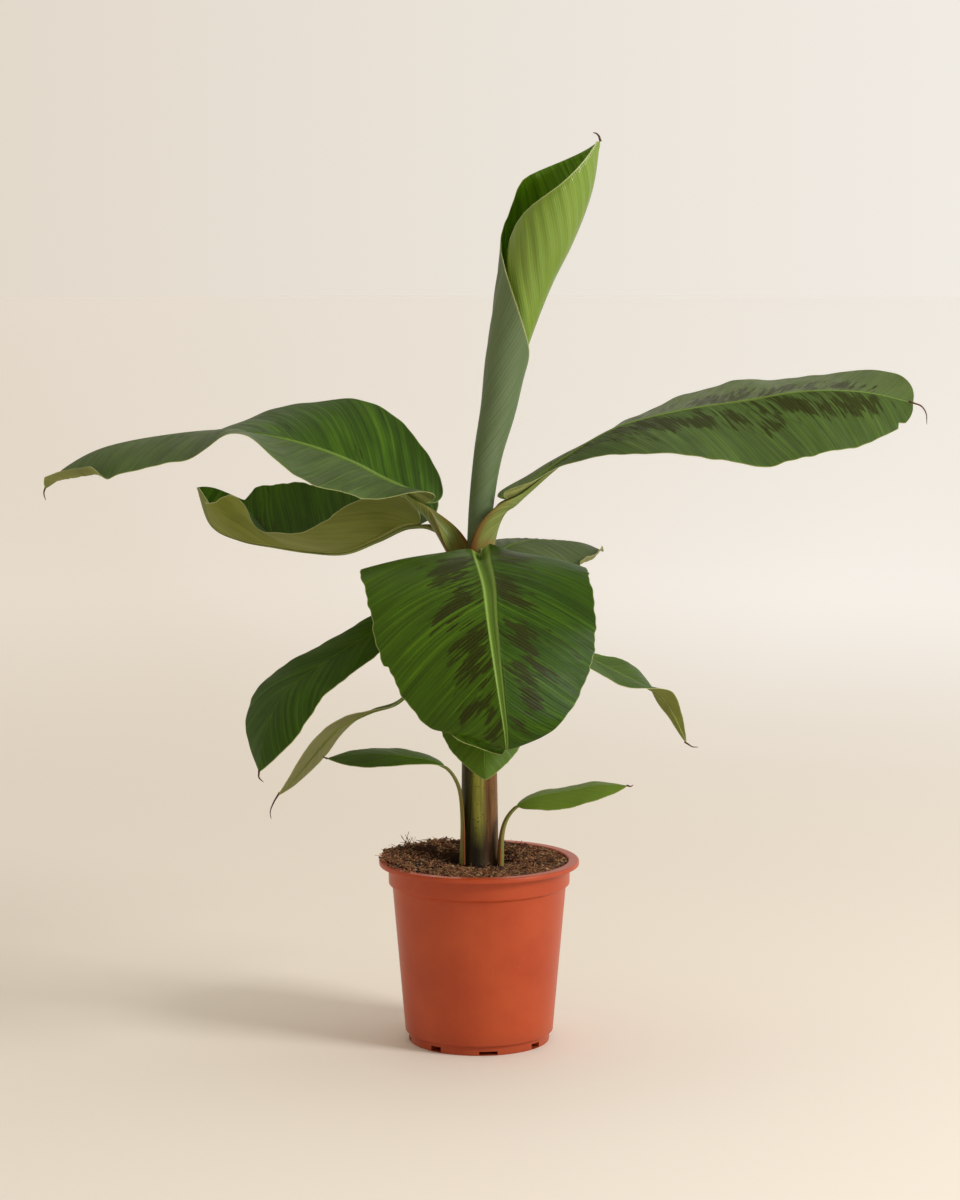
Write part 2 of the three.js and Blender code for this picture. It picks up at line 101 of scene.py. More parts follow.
# Each leaf has its azimuth in degrees from +X, its spine as (out, up, side) from the stem's axis, the share
# of the spine where the blade begins, and the blade's half width and outline (see outline_share). Pairs are
# for the left half and the right half, and keys are spaced evenly from the blade's base to its tip.
#   lift, curl   degrees that a half is raised, and bent on towards its margin
#   share        of the half width
#   sweep        how far the margin leans towards the tip, as a share of the half's width
#   roll         degrees that the blade is turned about its spine
#   rib          the midrib's half width at the blade's base, where rib_base is added as the stalk runs out
#   rib_show     how clearly the rib is coloured
#   foot         the stalk's half width at the stem, where its channel is turned by stalk_roll degrees
#   veins        how far a vein runs towards the tip for each millimetre outwards
#   tone         dark (-1) to young and yellow (1), with tone_and_shade_left for the left half if it differs,
#                which on the front leaf is painted shade
#   bloom        grey wax on each half, which also paints sheen
#   blotch       how much maroon the blade carries
#   waves        (height, count, phase) of the margin
#   pleat        height of the folds along the veins, and hump of a bulge in each half beside the blade's base
#   hems         (half, from, to, millimetres, degrees) where the margin rolls up
#   nicks        (half, from, depth, run) where it is torn
#   tendril      (out, up) of the dried thread at the tip
# What a leaf doesn't give is as in PLAIN_LEAF.
LEAVES = {
    "left_high": dict(
        azimuth=187, blade_from=0.19, half_width=112, outline=(0.25, 0.4, 0.7),
        spine=[(5, 555, 10), (33, 606, 10), (70, 652, 6), (118, 680), (160, 702), (226, 725), (300, 737),
               (370, 732), (440, 718), (485, 695), (508, 672)],
        lift=([70, -14, -22, -22, 8, -5, -8, -12, -10], [35, 48, 47, 27, 3, -14, -15, -15, -10]),
        curl=([-12, -12, -12, 0, -10, -20, -20, -20, -20], [-5]),
        share=([0.45, 0.42, 0.62, 0.85, 1, 1, 1.05, 1.2, 1.3], [0.7, 0.72, 0.9, 1, 1, 1, 1, 1, 1]),
        sweep=[-0.7, -0.35, 0, 0.1, 0.2],
        rib=3.6, rib_base=7, rib_show=0.6, foot=21, stalk_roll=-50, veins=[0.5, 0.6, 0.8], tone=0.0,
        bloom_and_sheen=(0.3, 0.04), blotch=0.3, waves=(2.5, 3.2, 0.1), pleat=0.8,
        hems=[("L", 0.81, 1.03, 18, 160)], tendril=[(0, 0), (2, -7), (0, -15)],
    ),
    "left_cupped": dict(
        azimuth=148, blade_from=0.22, half_width=95, outline=(0.25, 0.5, 0.6),
        spine=[(0, 560), (45, 608), (95, 618), (145, 598), (193, 580), (245, 578), (297, 581), (350, 586),
               (395, 602), (417, 648)],
        lift=([28, 30, 22, 15, 13, 13, 17, 34, 42, 32, 36, 42, 40], [22, 28, 40, 46, 46, 46, 48, 46, 36]),
        curl=([10], [10]),
        share=([1], [0.6, 0.9, 1, 1, 1, 1, 1]), sweep=[-0.6, -0.3, 0, 0, 0],
        rib=4, rib_show=0.5, foot=12, veins=[0.5, 0.7, 0.8], tone=-0.2, blotch=0.8, waves=(1.5, 2.6, 0.3),
        pleat=0.7,
    ),
    "right_high": dict(
        azimuth=5, blade_from=0.165, half_width=115, outline=(0.25, 0.45, 0.55),
        spine=[(-2, 560, -14), (2, 605, -16), (22, 645, -12), (60, 671, -4), (105, 704), (165, 738),
               (240, 757), (315, 768), (390, 779), (460, 777), (520, 764)],
        lift=([30, 15, -5, 0, 5, 12, 8, 22, 60], [60, -5, -12, -17, -27, -38, -42, -45, -50]),
        curl=([-5], [-8]),
        share=([0.5, 0.25, 0.33, 0.82, 1, 1, 1, 1, 1], [0.3, 0.12, 0.42, 0.86, 0.95, 1, 1, 1, 1]),
        sweep=[-0.6, -0.3, 0, 0.1, 0.2],
        rib=4.2, rib_base=8, rib_show=0.7, foot=25, stalk_roll=-35, veins=[0.3, 0.4, 0.6], tone=0.05,
        tone_and_shade_left=0.22, bloom_and_sheen=(0.4, 0.24), blotch=1.1, waves=(2.5, 3.4, 0.55), pleat=1.0,
        nicks=[("R", 0.955, 9, 0.02)], tendril=[(0, 0), (10, -4), (16, -13), (17, -26)],
    ),
    "front": dict(
        azimuth=-88, blade_from=0.12, half_width=132, outline=(0.22, 0.45, 0.9),
        spine=[(0, 565), (60, 591), (115, 592), (170, 570, 5), (215, 536, 7), (246, 495, 11),
               (263, 452, 16), (268, 420, 20), (258, 398, 22), (235, 392, 23)],
        lift=([34, 8, 0, -4, -8, -11, -12, -11, -10], [30, 8, 0, -4, -8, -11, -12, -11, -10]),
        curl=([-75, -25, -15, -15, -15, -15, -15, -15, -15], [-65, -25, -15, -15, -15, -15, -15, -15, -15]),
        share=([0.97, 0.95, 0.94, 0.94, 0.95, 0.96, 1], [1.05, 1.08, 1.06, 1.03, 1.01, 1.02, 1.06]),
        sweep=[-0.9, -0.3, 0, 0.1, 0.2],
        # the front leaf's left half is painted darker by its own tone: painted shade
        rib=11, rib_show=1.0, foot=16, veins=[0.15, 0.3, 0.5, 0.75, 0.9], tone=0.12, tone_and_shade_left=-0.45,
        blotch=0.95, waves=(1.6, 2.4, 0.2), pleat=0.6, hump=(13, 7),
        hems=[("R", 0.86, 1.03, 13, 155)], nicks=[("R", 0.57, 6, 0.12)],
    ),
    "front_low": dict(
        azimuth=-88, blade_from=0.3, half_width=56, outline=(0.4, 0.45, 0.9),
        spine=[(0, 455), (45, 490), (90, 485), (130, 452), (165, 415), (192, 380), (203, 352)],
        lift=([-10], [-10]), curl=([-20], [-20]),
        rib=2.6, rib_show=0.5, foot=10, veins=[1.0], tone=0.35, waves=(1.2, 2.2, 0.0), pleat=0.35,
    ),
    "back_right": dict(
        azimuth=50, blade_from=0.2, half_width=54, outline=(0.35, 0.4, 1.0),
        spine=[(0, 545), (45, 588), (95, 596), (150, 592), (200, 585), (240, 572)],
        lift=([5], [-20, -25, -30, -20]), curl=([-20], [-30]),
        rib=2.6, rib_show=0.5, foot=11, veins=[1.0], tone=0.15, bloom_and_sheen=(0.3, 0.4), blotch=0.1,
        waves=(2.2, 2.4, 0.4), pleat=0.5,
        hems=[("R", 0.5, 1.01, 10, 120)],
    ),
    "back": dict(
        azimuth=102, blade_from=0.2, half_width=80, outline=(0.35, 0.4, 0.8),
        spine=[(0, 530), (50, 568), (110, 575), (170, 560), (225, 530), (265, 490)],
        lift=([-5], [-5]), curl=([-20], [-20]),
        rib=3.5, rib_show=0.6, foot=12, veins=[0.7], tone=0.0, blotch=0.6, waves=(2.2, 2.8, 0.7), pleat=0.7,
        tendril=[(0, 0), (3, -8), (2, -16)],
    ),
    "left_low": dict(
        azimuth=215, blade_from=0.2, half_width=58, outline=(0.3, 0.65, 1.0),
        spine=[(0, 480), (60, 530), (115, 518), (165, 498), (215, 476), (256, 455), (280, 435), (294, 410),
               (302, 385), (306, 356)],
        lift=([-5], [10, 10, 5, -5]),
        share=([0.6, 0.7, 0.85, 1.1, 1.1], [0.6, 0.7, 0.85, 1.1, 1.1]),
        rib=2.4, rib_show=0.3, foot=10, veins=[1.5], tone=-0.3, blotch=0.05, waves=(1.4, 3.0, 0.3),
        pleat=0.45,
        tendril=[(0, 0), (0, -6), (-6, -12)],
    ),
    "left_folded": dict(
        azimuth=160, blade_from=0.33, half_width=17, outline=(0.3, 0.5, 0.9),
        spine=[(0, 385), (40, 425), (75, 428), (107, 403), (142, 390), (182, 367), (216, 331), (244, 298),
               (263, 280)],
        lift=([10, 15, 12, 10], [10, 15, 12, 10]), curl=([0], [0]),
        share=([0.5, 0.5, 0.7, 0.8, 0.8, 0.8], [0.3, 0.3, 0.6, 0.85, 0.9, 0.9]), sweep=[0.1],
        roll=[-30, -10, 30, 50, 50, 45],
        rib=2.0, rib_show=0.4, foot=9, veins=[2.0], tone=-0.1, bloom_and_sheen=(0.6, 0.6), waves=(0.8, 3.0, 0.3),
        pleat=0.35,
        tendril=[(0, 0), (5, -8), (10, -20), (9, -30)],
    ),
    "right_low": dict(
        azimuth=20, blade_from=0.28, half_width=38, outline=(0.3, 0.45, 0.8),
        spine=[(0, 470), (45, 512), (92, 497), (140, 458), (180, 436), (212, 420), (236, 404), (252, 382),
               (262, 362), (270, 345)],
        lift=([12], [12, 12, 12, 15, 30, 15, 10]),
        share=([0.3, 0.28, 0.36, 0.74, 1.05, 0.45, 0.35], [0.9, 0.95, 0.9, 0.85, 0.8, 0.5, 0.4]),
        roll=[30, 32, 32, 30, 12, -35, -50],
        rib=2.2, rib_show=0.4, foot=9, veins=[1.3], tone=0.1, bloom_and_sheen=(0.15, 0.15), waves=(1.5, 2.5, 0.1),
        pleat=0.4,
        tendril=[(0, 0), (8, -5), (16, -6)],
    ),
    "base_left": dict(
        azimuth=180, blade_from=0.48, half_width=32, outline=(0.4, 0.45, 0.9),
        spine=[(17, 212, 18), (18, 275, 18), (25, 315, 18), (45, 338, 18), (85, 347, 18), (130, 350, 18),
               (181, 345, 18)],
        lift=([-12], [5]),
        share=([0.3, 0.5, 0.9, 1, 1], [1]), sweep=[0.1], roll=[-5],
        rib=1.8, rib_show=0.3, foot=8.5, veins=[1.8], tone=0.2, waves=(0.7, 2.0, 0.3), pleat=0.2,
        tendril=[(0, 0), (3, 1), (5, 3)],
    ),
    "base_right": dict(
        azimuth=5, blade_from=0.38, half_width=30, outline=(0.4, 0.45, 0.9),
        spine=[(21, 210.3, -22), (25, 258, -22), (38, 283, -22), (62, 297, -22), (106, 305, -22),
               (142, 311, -22), (176, 310, -22)],
        lift=([0], [-20]),
        sweep=[0.1], roll=[5],
        rib=1.8, rib_show=0.3, foot=8.5, veins=[1.8], tone=0.8, waves=(0.7, 2.0, 0.8), pleat=0.2,
        tendril=[(0, 0), (4, -1), (7, 1)],
    ),
}
PLAIN_LEAF = dict(
    curl=([-10], [-10]), share=([1], [1]), sweep=[-0.5, -0.3, 0, 0.1, 0.2], roll=[0], rib_base=0,
    stalk_roll=0, blotch=0.0, bloom_and_sheen=(0, 0), hump=(0, 0), hems=[], nicks=[], tendril=[],
)
for leaf in LEAVES.values():
    for key, value in dict(PLAIN_LEAF, tone_and_shade_left=leaf["tone"]).items():
        leaf.setdefault(key, value)

# The newest leaf is a scroll on a leaning axis, with its keys from its foot, down in the crown, to its tip.
# The outer half winds behind and over the front, and the inner half inside, each by so many degrees.
SPEAR = dict(
    axis=[(-3, 4, 585), (1, 5, 645), (9, 6, 705), (21, 7, 759), (30, 8, 812), (43, 8, 866), (57, 8, 919),
          (73, 8, 971), (90, 8, 1025), (97, 8, 1077)],
    radius=[9, 10, 12, 16, 20, 25, 32, 41, 44, 45],
    turn_outer=[380, 380, 400, 390, 370, 291, 225, 160, 138, 26],
    turn_inner=[300, 300, 300, 290, 260, 220, 180, 143, 85, 20],
    layer_step=3,
    veins=1.4,
    pleat_length=22,
)


# ---------------------------------------------------------------- shape functions
def along(keys, t):
    """Values at shares t (0 to 1) of evenly spaced keys, on a smooth Catmull-Rom curve."""
    keys = np.asarray(keys, float)
    t = np.asarray(t, float)
    if len(keys) == 1:
        return np.broadcast_to(keys[0], t.shape + keys.shape[1:]).copy()
    last = len(keys) - 1
    x = np.clip(t, 0, 1) * last
    i = np.minimum(x.astype(int), last - 1)
    f = (x - i).reshape(x.shape + (1,) * (keys.ndim - 1))
    padded = np.concatenate([[2 * keys[0] - keys[1]], keys, [2 * keys[-1] - keys[-2]]])
    k0, k1, k2, k3 = padded[i], padded[i + 1], padded[i + 2], padded[i + 3]
    square, cube = 2 * k0 - 5 * k1 + 4 * k2 - k3, 3 * (k1 - k2) + k3 - k0
    return 0.5 * (2 * k1 + (k2 - k0) * f + square * f**2 + cube * f**3)


def smooth(x, low, high):
    """0 below low, 1 above high, with a soft step between."""
    s = np.clip((x - low) / (high - low), 0, 1)
    return s * s * (3 - 2 * s)


class Spine:
    """A smooth curve measured by its length, with a frame anywhere: tangent, left side and upper normal."""

    STEPS = 600

    def __init__(self, points, side):
        raw = along(points, np.linspace(0, 1, self.STEPS + 1))
        lengths = np.linalg.norm(np.diff(raw, axis=0), axis=1)
        marks = np.concatenate([[0], np.cumsum(lengths)])
        self.length = marks[-1]
        self.share = marks / marks[-1]
        self.raw = raw
        self.side = np.asarray(side, float)

    def point(self, t):
        inside = np.clip(t, 0, 1)
        p = np.stack([np.interp(inside, self.share, self.raw[:, k]) for k in range(3)], -1)
        start = (self.raw[1] - self.raw[0]) / np.linalg.norm(self.raw[1] - self.raw[0])
        end = (self.raw[-1] - self.raw[-2]) / np.linalg.norm(self.raw[-1] - self.raw[-2])
        before = np.minimum(t, 0)[..., None] * self.length * start
        after = np.maximum(t - 1, 0)[..., None] * self.length * end
        return p + before + after

    def frames(self, t):
        step = 0.004
        tangent = self.point(t + step) - self.point(t - step)
        tangent /= np.linalg.norm(tangent, axis=-1, keepdims=True)
        left = self.side - (tangent @ self.side)[..., None] * tangent
        left /= np.linalg.norm(left, axis=-1, keepdims=True)
        return self.point(t), tangent, left, np.cross(tangent, left)


def ring(frame, radius, turn):
    """Points round a spine, a radius away and turned from its left side towards its upper normal."""
    point, _, left, up = frame
    return point + left * (radius * np.cos(turn))[:, None] + up * (radius * np.sin(turn))[:, None]


def leaf_spine(leaf):
    """A leaf's spine, and the level direction in which it leaves the stem."""
    a = math.radians(leaf["azimuth"])
    out = np.array([math.cos(a), math.sin(a), 0])
    side = np.array([-math.sin(a), math.cos(a), 0])
    points = [out * p[0] + np.array([0, 0, p[1]]) + side * (p[2] if len(p) > 2 else 0) for p in leaf["spine"]]
    return Spine(points, side), out


def bent_grid(name, across, stations, place, closed=False):
    """A flat grid bent by place(u, v), u and v from 0 to 1. place gives points in millimetres and a dict of
    values per vertex, which the mesh keeps as attributes. The grid's own u and v become its UV map."""
    bm = bmesh.new()
    bmesh.ops.create_grid(bm, x_segments=across, y_segments=stations, size=0.5, calc_uvs=True)
    bm.verts.ensure_lookup_table()
    flat = np.array([v.co[:] for v in bm.verts])
    points, values = place(flat[:, 0] + 0.5, flat[:, 1] + 0.5)
    for v, p in zip(bm.verts, points * MM):
        v.co = p
    for key, numbers in values.items():
        layer = bm.verts.layers.float.new(key)
        for v, number in zip(bm.verts, numbers):
            v[layer] = number
    if closed:
        bmesh.ops.remove_doubles(bm, verts=bm.verts, dist=WELD)
        bmesh.ops.holes_fill(bm, edges=[e for e in bm.edges if e.is_boundary], sides=0)
        bmesh.ops.recalc_face_normals(bm, faces=bm.faces)
    return as_mesh(bm, name)


def as_mesh(bm, name):
    """Turns what a BMesh holds into a mesh with smooth faces."""
    mesh = bpy.data.meshes.new(name)
    for f in bm.faces:
        f.smooth = True
    bm.to_mesh(mesh)
    bm.free()
    return mesh


def in_scene(name, data):
    obj = bpy.data.objects.new(name, data)
    bpy.context.scene.collection.objects.link(obj)
    return obj


def piece(mesh, slot, *nodes):
    """Makes a mesh a piece of the object: it rides on the one body and may replace nodes. Its slot is
    not used."""
    obj = in_scene(mesh.name, mesh)
    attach(obj, "root")
    if nodes:
        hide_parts(*nodes)


def thicken(mesh, thickness, materials):
    """Gives a sheet a real thickness below it: slot 0 above, 1 below and 2 round the edge."""
    obj = in_scene(mesh.name + "_sheet", mesh)
    for m in materials:
        mesh.materials.append(m)
    wall = obj.modifiers.new("thickness", "SOLIDIFY")
    wall.thickness = thickness * MM
    wall.offset = -1
    wall.material_offset = 1
    wall.material_offset_rim = 2
    solid = bpy.data.meshes.new_from_object(obj.evaluated_get(bpy.context.evaluated_depsgraph_get()))
    solid.set_sharp_from_angle(angle=math.radians(60))
    name = mesh.name
    bpy.data.objects.remove(obj)
    bpy.data.meshes.remove(mesh)
    solid.name = name
    return solid


# ---------------------------------------------------------------- materials
LEAF_APART = 7.3  # how far the patterns of two leaves lie apart
VEIN_SPACING = 4.6  # mm between the side veins that show
VEIN_SHARPNESS = 7.0
SKIN_RELIEF = 0.0006  # metres
LEAF_IOR = 1.45
STEM_WIDTH = 0.046  # metres


def linear(hex_colour):
    """An sRGB hex colour as linear RGBA."""
    values = [int(hex_colour[i:i + 2], 16) / 255 for i in (1, 3, 5)]
    return [v / 12.92 if v <= 0.04045 else ((v + 0.055) / 1.055) ** 2.4 for v in values] + [1.0]


def add(material, kind, sockets=(), stops=None, **properties):
    """Adds a node with its properties and a colour ramp's stops. sockets holds numbers, colours, sockets to
    link, or nodes whose first live output is linked, in order or by name or number."""
    tree = material.node_tree
    new = tree.nodes.new("ShaderNode" + kind)
    for key, value in properties.items():
        setattr(new, key, value)
    for key, value in sockets.items() if isinstance(sockets, dict) else enumerate(sockets):
        if isinstance(value, bpy.types.Node):
            value = next(output for output in value.outputs if output.enabled)
        if isinstance(value, bpy.types.NodeSocket):
            tree.links.new(value, new.inputs[key])
        else:
            new.inputs[key].default_value = value
    if stops:
        ramp = new.color_ramp
        while len(ramp.elements) > 1:
            ramp.elements.remove(ramp.elements[-1])
        ramp.elements[0].position, ramp.elements[0].color = stops[0][0], linear(stops[0][1])
        for position, colour in stops[1:]:
            ramp.elements.new(position).color = linear(colour)
    return new


def start_material(name):
    material = bpy.data.materials.new(name)
    material.use_nodes = True
    material.node_tree.nodes.clear()
    return material


def finish_material(material, shader):
    add(material, "OutputMaterial", (shader,))
    return material


def surface(material, colour, rough, height=None, relief=0.0, depth=SKIN_RELIEF, shine=0.5, ior=LEAF_IOR):
    """A surface of one substance, its fine relief raised by height."""
    sockets = {"Base Color": colour, "Roughness": rough, "Specular IOR Level": shine, "IOR": ior}
    if height:
        sockets["Normal"] = add(material, "Bump", {"Height": height, "Strength": relief, "Distance": depth})
    return add(material, "BsdfPrincipled", sockets)


def coats(material, colour, layers):
    """Lays coats over a colour, one after another. Each is (how much of it covers, its colour)."""
    for share, coat in layers:
        above = linear(coat) if isinstance(coat, str) else coat
        colour = add(material, "Mix", {0: share, 6: colour, 7: above}, data_type="RGBA")
    return colour


def streaks(m, vein_mm, across_mm, detail=3.0, rough=0.55, lift=0.0):
    """Noise whose patches are vein_mm wide and across_mm long and lie along the veins. It differs from leaf
    to leaf, and lift makes another pattern of it."""
    vein, across, number = [add(m, "Attribute", attribute_name=key).outputs["Fac"]
                            for key in ("vein_mm", "across_mm", "leaf_number")]
    place = add(m, "CombineXYZ", (
        add(m, "Math", (vein, vein_mm), operation="DIVIDE"),
        add(m, "Math", (across, across_mm), operation="DIVIDE"),
        add(m, "Math", (number, LEAF_APART, lift), operation="MULTIPLY_ADD"),
    ))
    return add(m, "TexNoise", {"Vector": place, "Scale": 1.0, "Detail": detail, "Roughness": rough})


def vein_lines(m):
    """Thin lines, one at each side vein."""
    vein = add(m, "Attribute", attribute_name="vein_mm").outputs["Fac"]
    turn = add(m, "Math", (vein, math.pi / VEIN_SPACING), operation="MULTIPLY")
    wave = add(m, "Math", (add(m, "Math", (turn,), operation="SINE"),), operation="ABSOLUTE")
    return add(m, "Math", (wave, VEIN_SHARPNESS), operation="POWER")


def through_leaf(m, face, colour, light, share):
    """Lets light through the thin blade: what comes through is yellower than the face."""
    glow = add(m, "BsdfTranslucent", (coats(m, colour, [(0.75, light)]),))
    return finish_material(m, add(m, "MixShader", (share, face, glow)))


def leaf_upper(name, dark, mid, bright, maroon, roughness):
    """Upper face of a banana leaf: a smooth waxy skin over green tissue. Straight side veins run from the rib
    to the margin with darker and lighter bands between them, and maroon is brushed on along them near the
    rib. A grey waxy coat is laid on in patches, and with it painted sheen."""
    m = start_material(name)
    tone, bloom_and_sheen, blotch, rib, rib_show, edge = [
        add(m, "Attribute", attribute_name=key).outputs["Fac"]
        for key in ("tone", "bloom_and_sheen", "blotch", "rib_share", "rib_show", "edge_mm")]
    fine = streaks(m, 4.0, 150.0, detail=4.0)
    wide = streaks(m, 26.0, 60.0, detail=2.0, lift=3.0)
    lines = vein_lines(m)
    green = add(m, "ValToRGB", (fine,), stops=[(0.3, dark), (0.52, mid), (0.72, bright)])
    shade = add(m, "ValToRGB", (wide,), stops=[(0.32, "#a9aca0"), (0.66, "#ffffff")])
    green = add(m, "Mix", {0: 0.6, 6: green, 7: shade}, data_type="RGBA", blend_type="MULTIPLY")
    # a thin grey wax that has not rubbed off everywhere, the same grey standing for painted sheen
    wax_and_sheen = add(m, "Math", (bloom_and_sheen, add(m, "Math", (wide, 0.35), operation="ADD")), operation="MULTIPLY")
    # maroon strokes gather in patches
    strokes = streaks(m, 3.6, 30.0, detail=2.5, rough=0.6, lift=11.0)
    patches = streaks(m, 30.0, 42.0, detail=2.0, lift=17.0)
    level = add(m, "Math", (strokes, 0.5), operation="MULTIPLY")
    level = add(m, "Math", (patches, 0.5, level), operation="MULTIPLY_ADD")
    level = add(m, "Math", (blotch, 0.15, level), operation="MULTIPLY_ADD")
    # the rib: pale green, with painted shade in its channel between two shoulders painted pale as highlights
    channel = add(m, "ValToRGB", (rib,),
                  stops=[(0.0, "#5f7c26"), (0.4, "#66862c"), (0.72, "#9ab55a"), (1.0, "#83a345")])
    on_rib = add(m, "Math", (add(m, "MapRange", (rib, 0.85, 1.1, 1.0, 0.0)), rib_show), operation="MULTIPLY")
    colour = coats(m, green, [
        (add(m, "MapRange", (tone, 0.0, 1.0, 0.0, 1.0)), "#7d9638"),
        # negative tone darkens; on the front leaf's left half it is painted shade
        (add(m, "MapRange", (tone, 0.0, -1.0, 0.0, 0.6)), "#263512"),
        # grey wax, with painted sheen
        (wax_and_sheen, "#7f8168"),
        (add(m, "MapRange", (level, 0.645, 0.665, 0.0, 0.82)), maroon),
        (add(m, "Math", (lines, 0.16), operation="MULTIPLY"), bright),
        (on_rib, channel),
        (add(m, "MapRange", (edge, 0.5, 1.1, 0.75, 0.0)), "#a9b070"),
    ])
    height = add(m, "Math", (lines, 0.5, fine), operation="MULTIPLY_ADD")
    wear = streaks(m, 9.0, 30.0, lift=21.0)
    rough = add(m, "MapRange", (wear, 0.3, 0.7, roughness - 0.08, roughness + 0.1))
    face = surface(m, colour, rough, height, relief=0.4, shine=0.16)
    return through_leaf(m, face, colour, "#7fa80c", 0.26)


def leaf_under(name, dull, pale, rib_tone, light):
    """Underside of a banana leaf: matt, paler, with a faint waxy coat that also paints light and sheen."""
    m = start_material(name)
    bloom_and_sheen, rib, edge = [add(m, "Attribute", attribute_name=key).outputs["Fac"]
                        for key in ("bloom_and_sheen", "rib_share", "edge_mm")]
    fine = streaks(m, 3.2, 110.0, detail=4.0)
    wide = streaks(m, 40.0, 60.0, detail=2.0, lift=5.0)
    lines = vein_lines(m)
    tissue = add(m, "ValToRGB", (fine,), stops=[(0.3, dull), (0.7, pale)])
    shade = add(m, "ValToRGB", (wide,), stops=[(0.35, "#b9b8a0"), (0.65, "#ffffff")])
    tissue = add(m, "Mix", {0: 0.55, 6: tissue, 7: shade}, data_type="RGBA", blend_type="MULTIPLY")
    colour = coats(m, tissue, [
        # pale cream wax, with painted light and sheen
        (bloom_and_sheen, "#b5ae8c"),
        (add(m, "Math", (lines, 0.2), operation="MULTIPLY"), rib_tone),
        (add(m, "MapRange", (rib, 0.7, 1.1, 1.0, 0.0)), rib_tone),
        (add(m, "MapRange", (edge, 0.6, 1.4, 0.8, 0.0)), "#c3c489"),
    ])
    height = add(m, "Math", (lines, fine), operation="ADD")
    face = surface(m, colour, 0.55, height, relief=0.35, shine=0.2)
    return through_leaf(m, face, colour, light, 0.36)


def rolled_outside():
    """Outside of the newest leaf: the outer half is grey-green under a waxy, glaucous coat, and the inner
    half, just unrolled, is bare, bright and glossy."""
    m = start_material("rolled_leaf_outside")
    inner, edge = [add(m, "Attribute", attribute_name=key).outputs["Fac"]
                   for key in ("inner_half", "edge_mm")]
    fine = streaks(m, 3.5, 120.0, detail=4.0)
    wide = streaks(m, 22.0, 60.0, detail=3.0, lift=9.0)
    lines = vein_lines(m)
    waxed = add(m, "ValToRGB", (fine,), stops=[(0.3, "#5c713e"), (0.7, "#738656")])
    waxed = coats(m, waxed, [(add(m, "Math", (wide, 0.55), operation="MULTIPLY"), "#75876a")])
    fresh = add(m, "ValToRGB", (fine,), stops=[(0.3, "#658712"), (0.7, "#87a62a")])
    fresh = coats(m, fresh, [(add(m, "Math", (wide, 0.5), operation="MULTIPLY"), "#9fb258")])
    colour = coats(m, waxed, [
        (inner, fresh),
        (add(m, "Math", (lines, 0.12), operation="MULTIPLY"), "#a9b878"),
        (add(m, "MapRange", (edge, 0.8, 1.8, 0.85, 0.0)), "#c2c68a"),
    ])
    height = add(m, "Math", (lines, fine), operation="ADD")
    rough = add(m, "MapRange", (inner, 0.0, 1.0, 0.5, 0.3))
    face = surface(m, colour, rough, height, relief=0.35)
    return through_leaf(m, face, colour, "#8fb01c", 0.25)


def leaf_edge():
    """The margin of the blade, thin, dry and pale where its veins end."""
    m = start_material("leaf_margin")
    noise = add(m, "TexNoise", {"Vector": add(m, "TexCoord").outputs["Object"], "Scale": 120.0})
    tone = add(m, "ValToRGB", (noise,), stops=[(0.35, "#9fa560"), (0.65, "#c0c284")])
    return finish_material(m, surface(m, tone, 0.5))


def stalk_tissue():
    """Leaf stalk and the rib under the blade: smooth juicy tissue, yellow-green, streaked lengthwise. Towards
    the stem it is flushed russet, most along the channel's lips."""
    m = start_material("leaf_stalk")
    length, across, foot, lip = [add(m, "Attribute", attribute_name=key).outputs["Fac"]
                                 for key in ("along_mm", "across_mm", "foot", "lip")]
    place = add(m, "CombineXYZ", (add(m, "Math", (length, 60.0), operation="DIVIDE"),
                                  add(m, "Math", (across, 2.2), operation="DIVIDE")))
    fibre = add(m, "TexNoise", {"Vector": place, "Scale": 1.0, "Detail": 3.0})
    tissue = add(m, "ValToRGB", (fibre,), stops=[(0.3, "#5a6a24"), (0.52, "#76843a"), (0.75, "#959f50")])
    flush = add(m, "TexNoise", {"Vector": add(m, "TexCoord").outputs["Object"], "Scale": 38.0, "Detail": 3.0})
    flushed = add(m, "Math", (foot, add(m, "MapRange", (flush, 0.45, 0.62, 0.0, 0.55))), operation="MULTIPLY")
    russet = add(m, "Math", (lip, add(m, "Math", (foot, 0.6, 0.3), operation="MULTIPLY_ADD")),
                 operation="MULTIPLY")
    colour = coats(m, tissue, [
        (add(m, "Math", (foot, 0.35), operation="MULTIPLY"), "#8a7c3c"),
        (flushed, "#935a2c"),
        (russet, "#84421f"),
    ])
    return finish_material(m, surface(m, colour, 0.42, fibre, relief=0.3, shine=0.3))


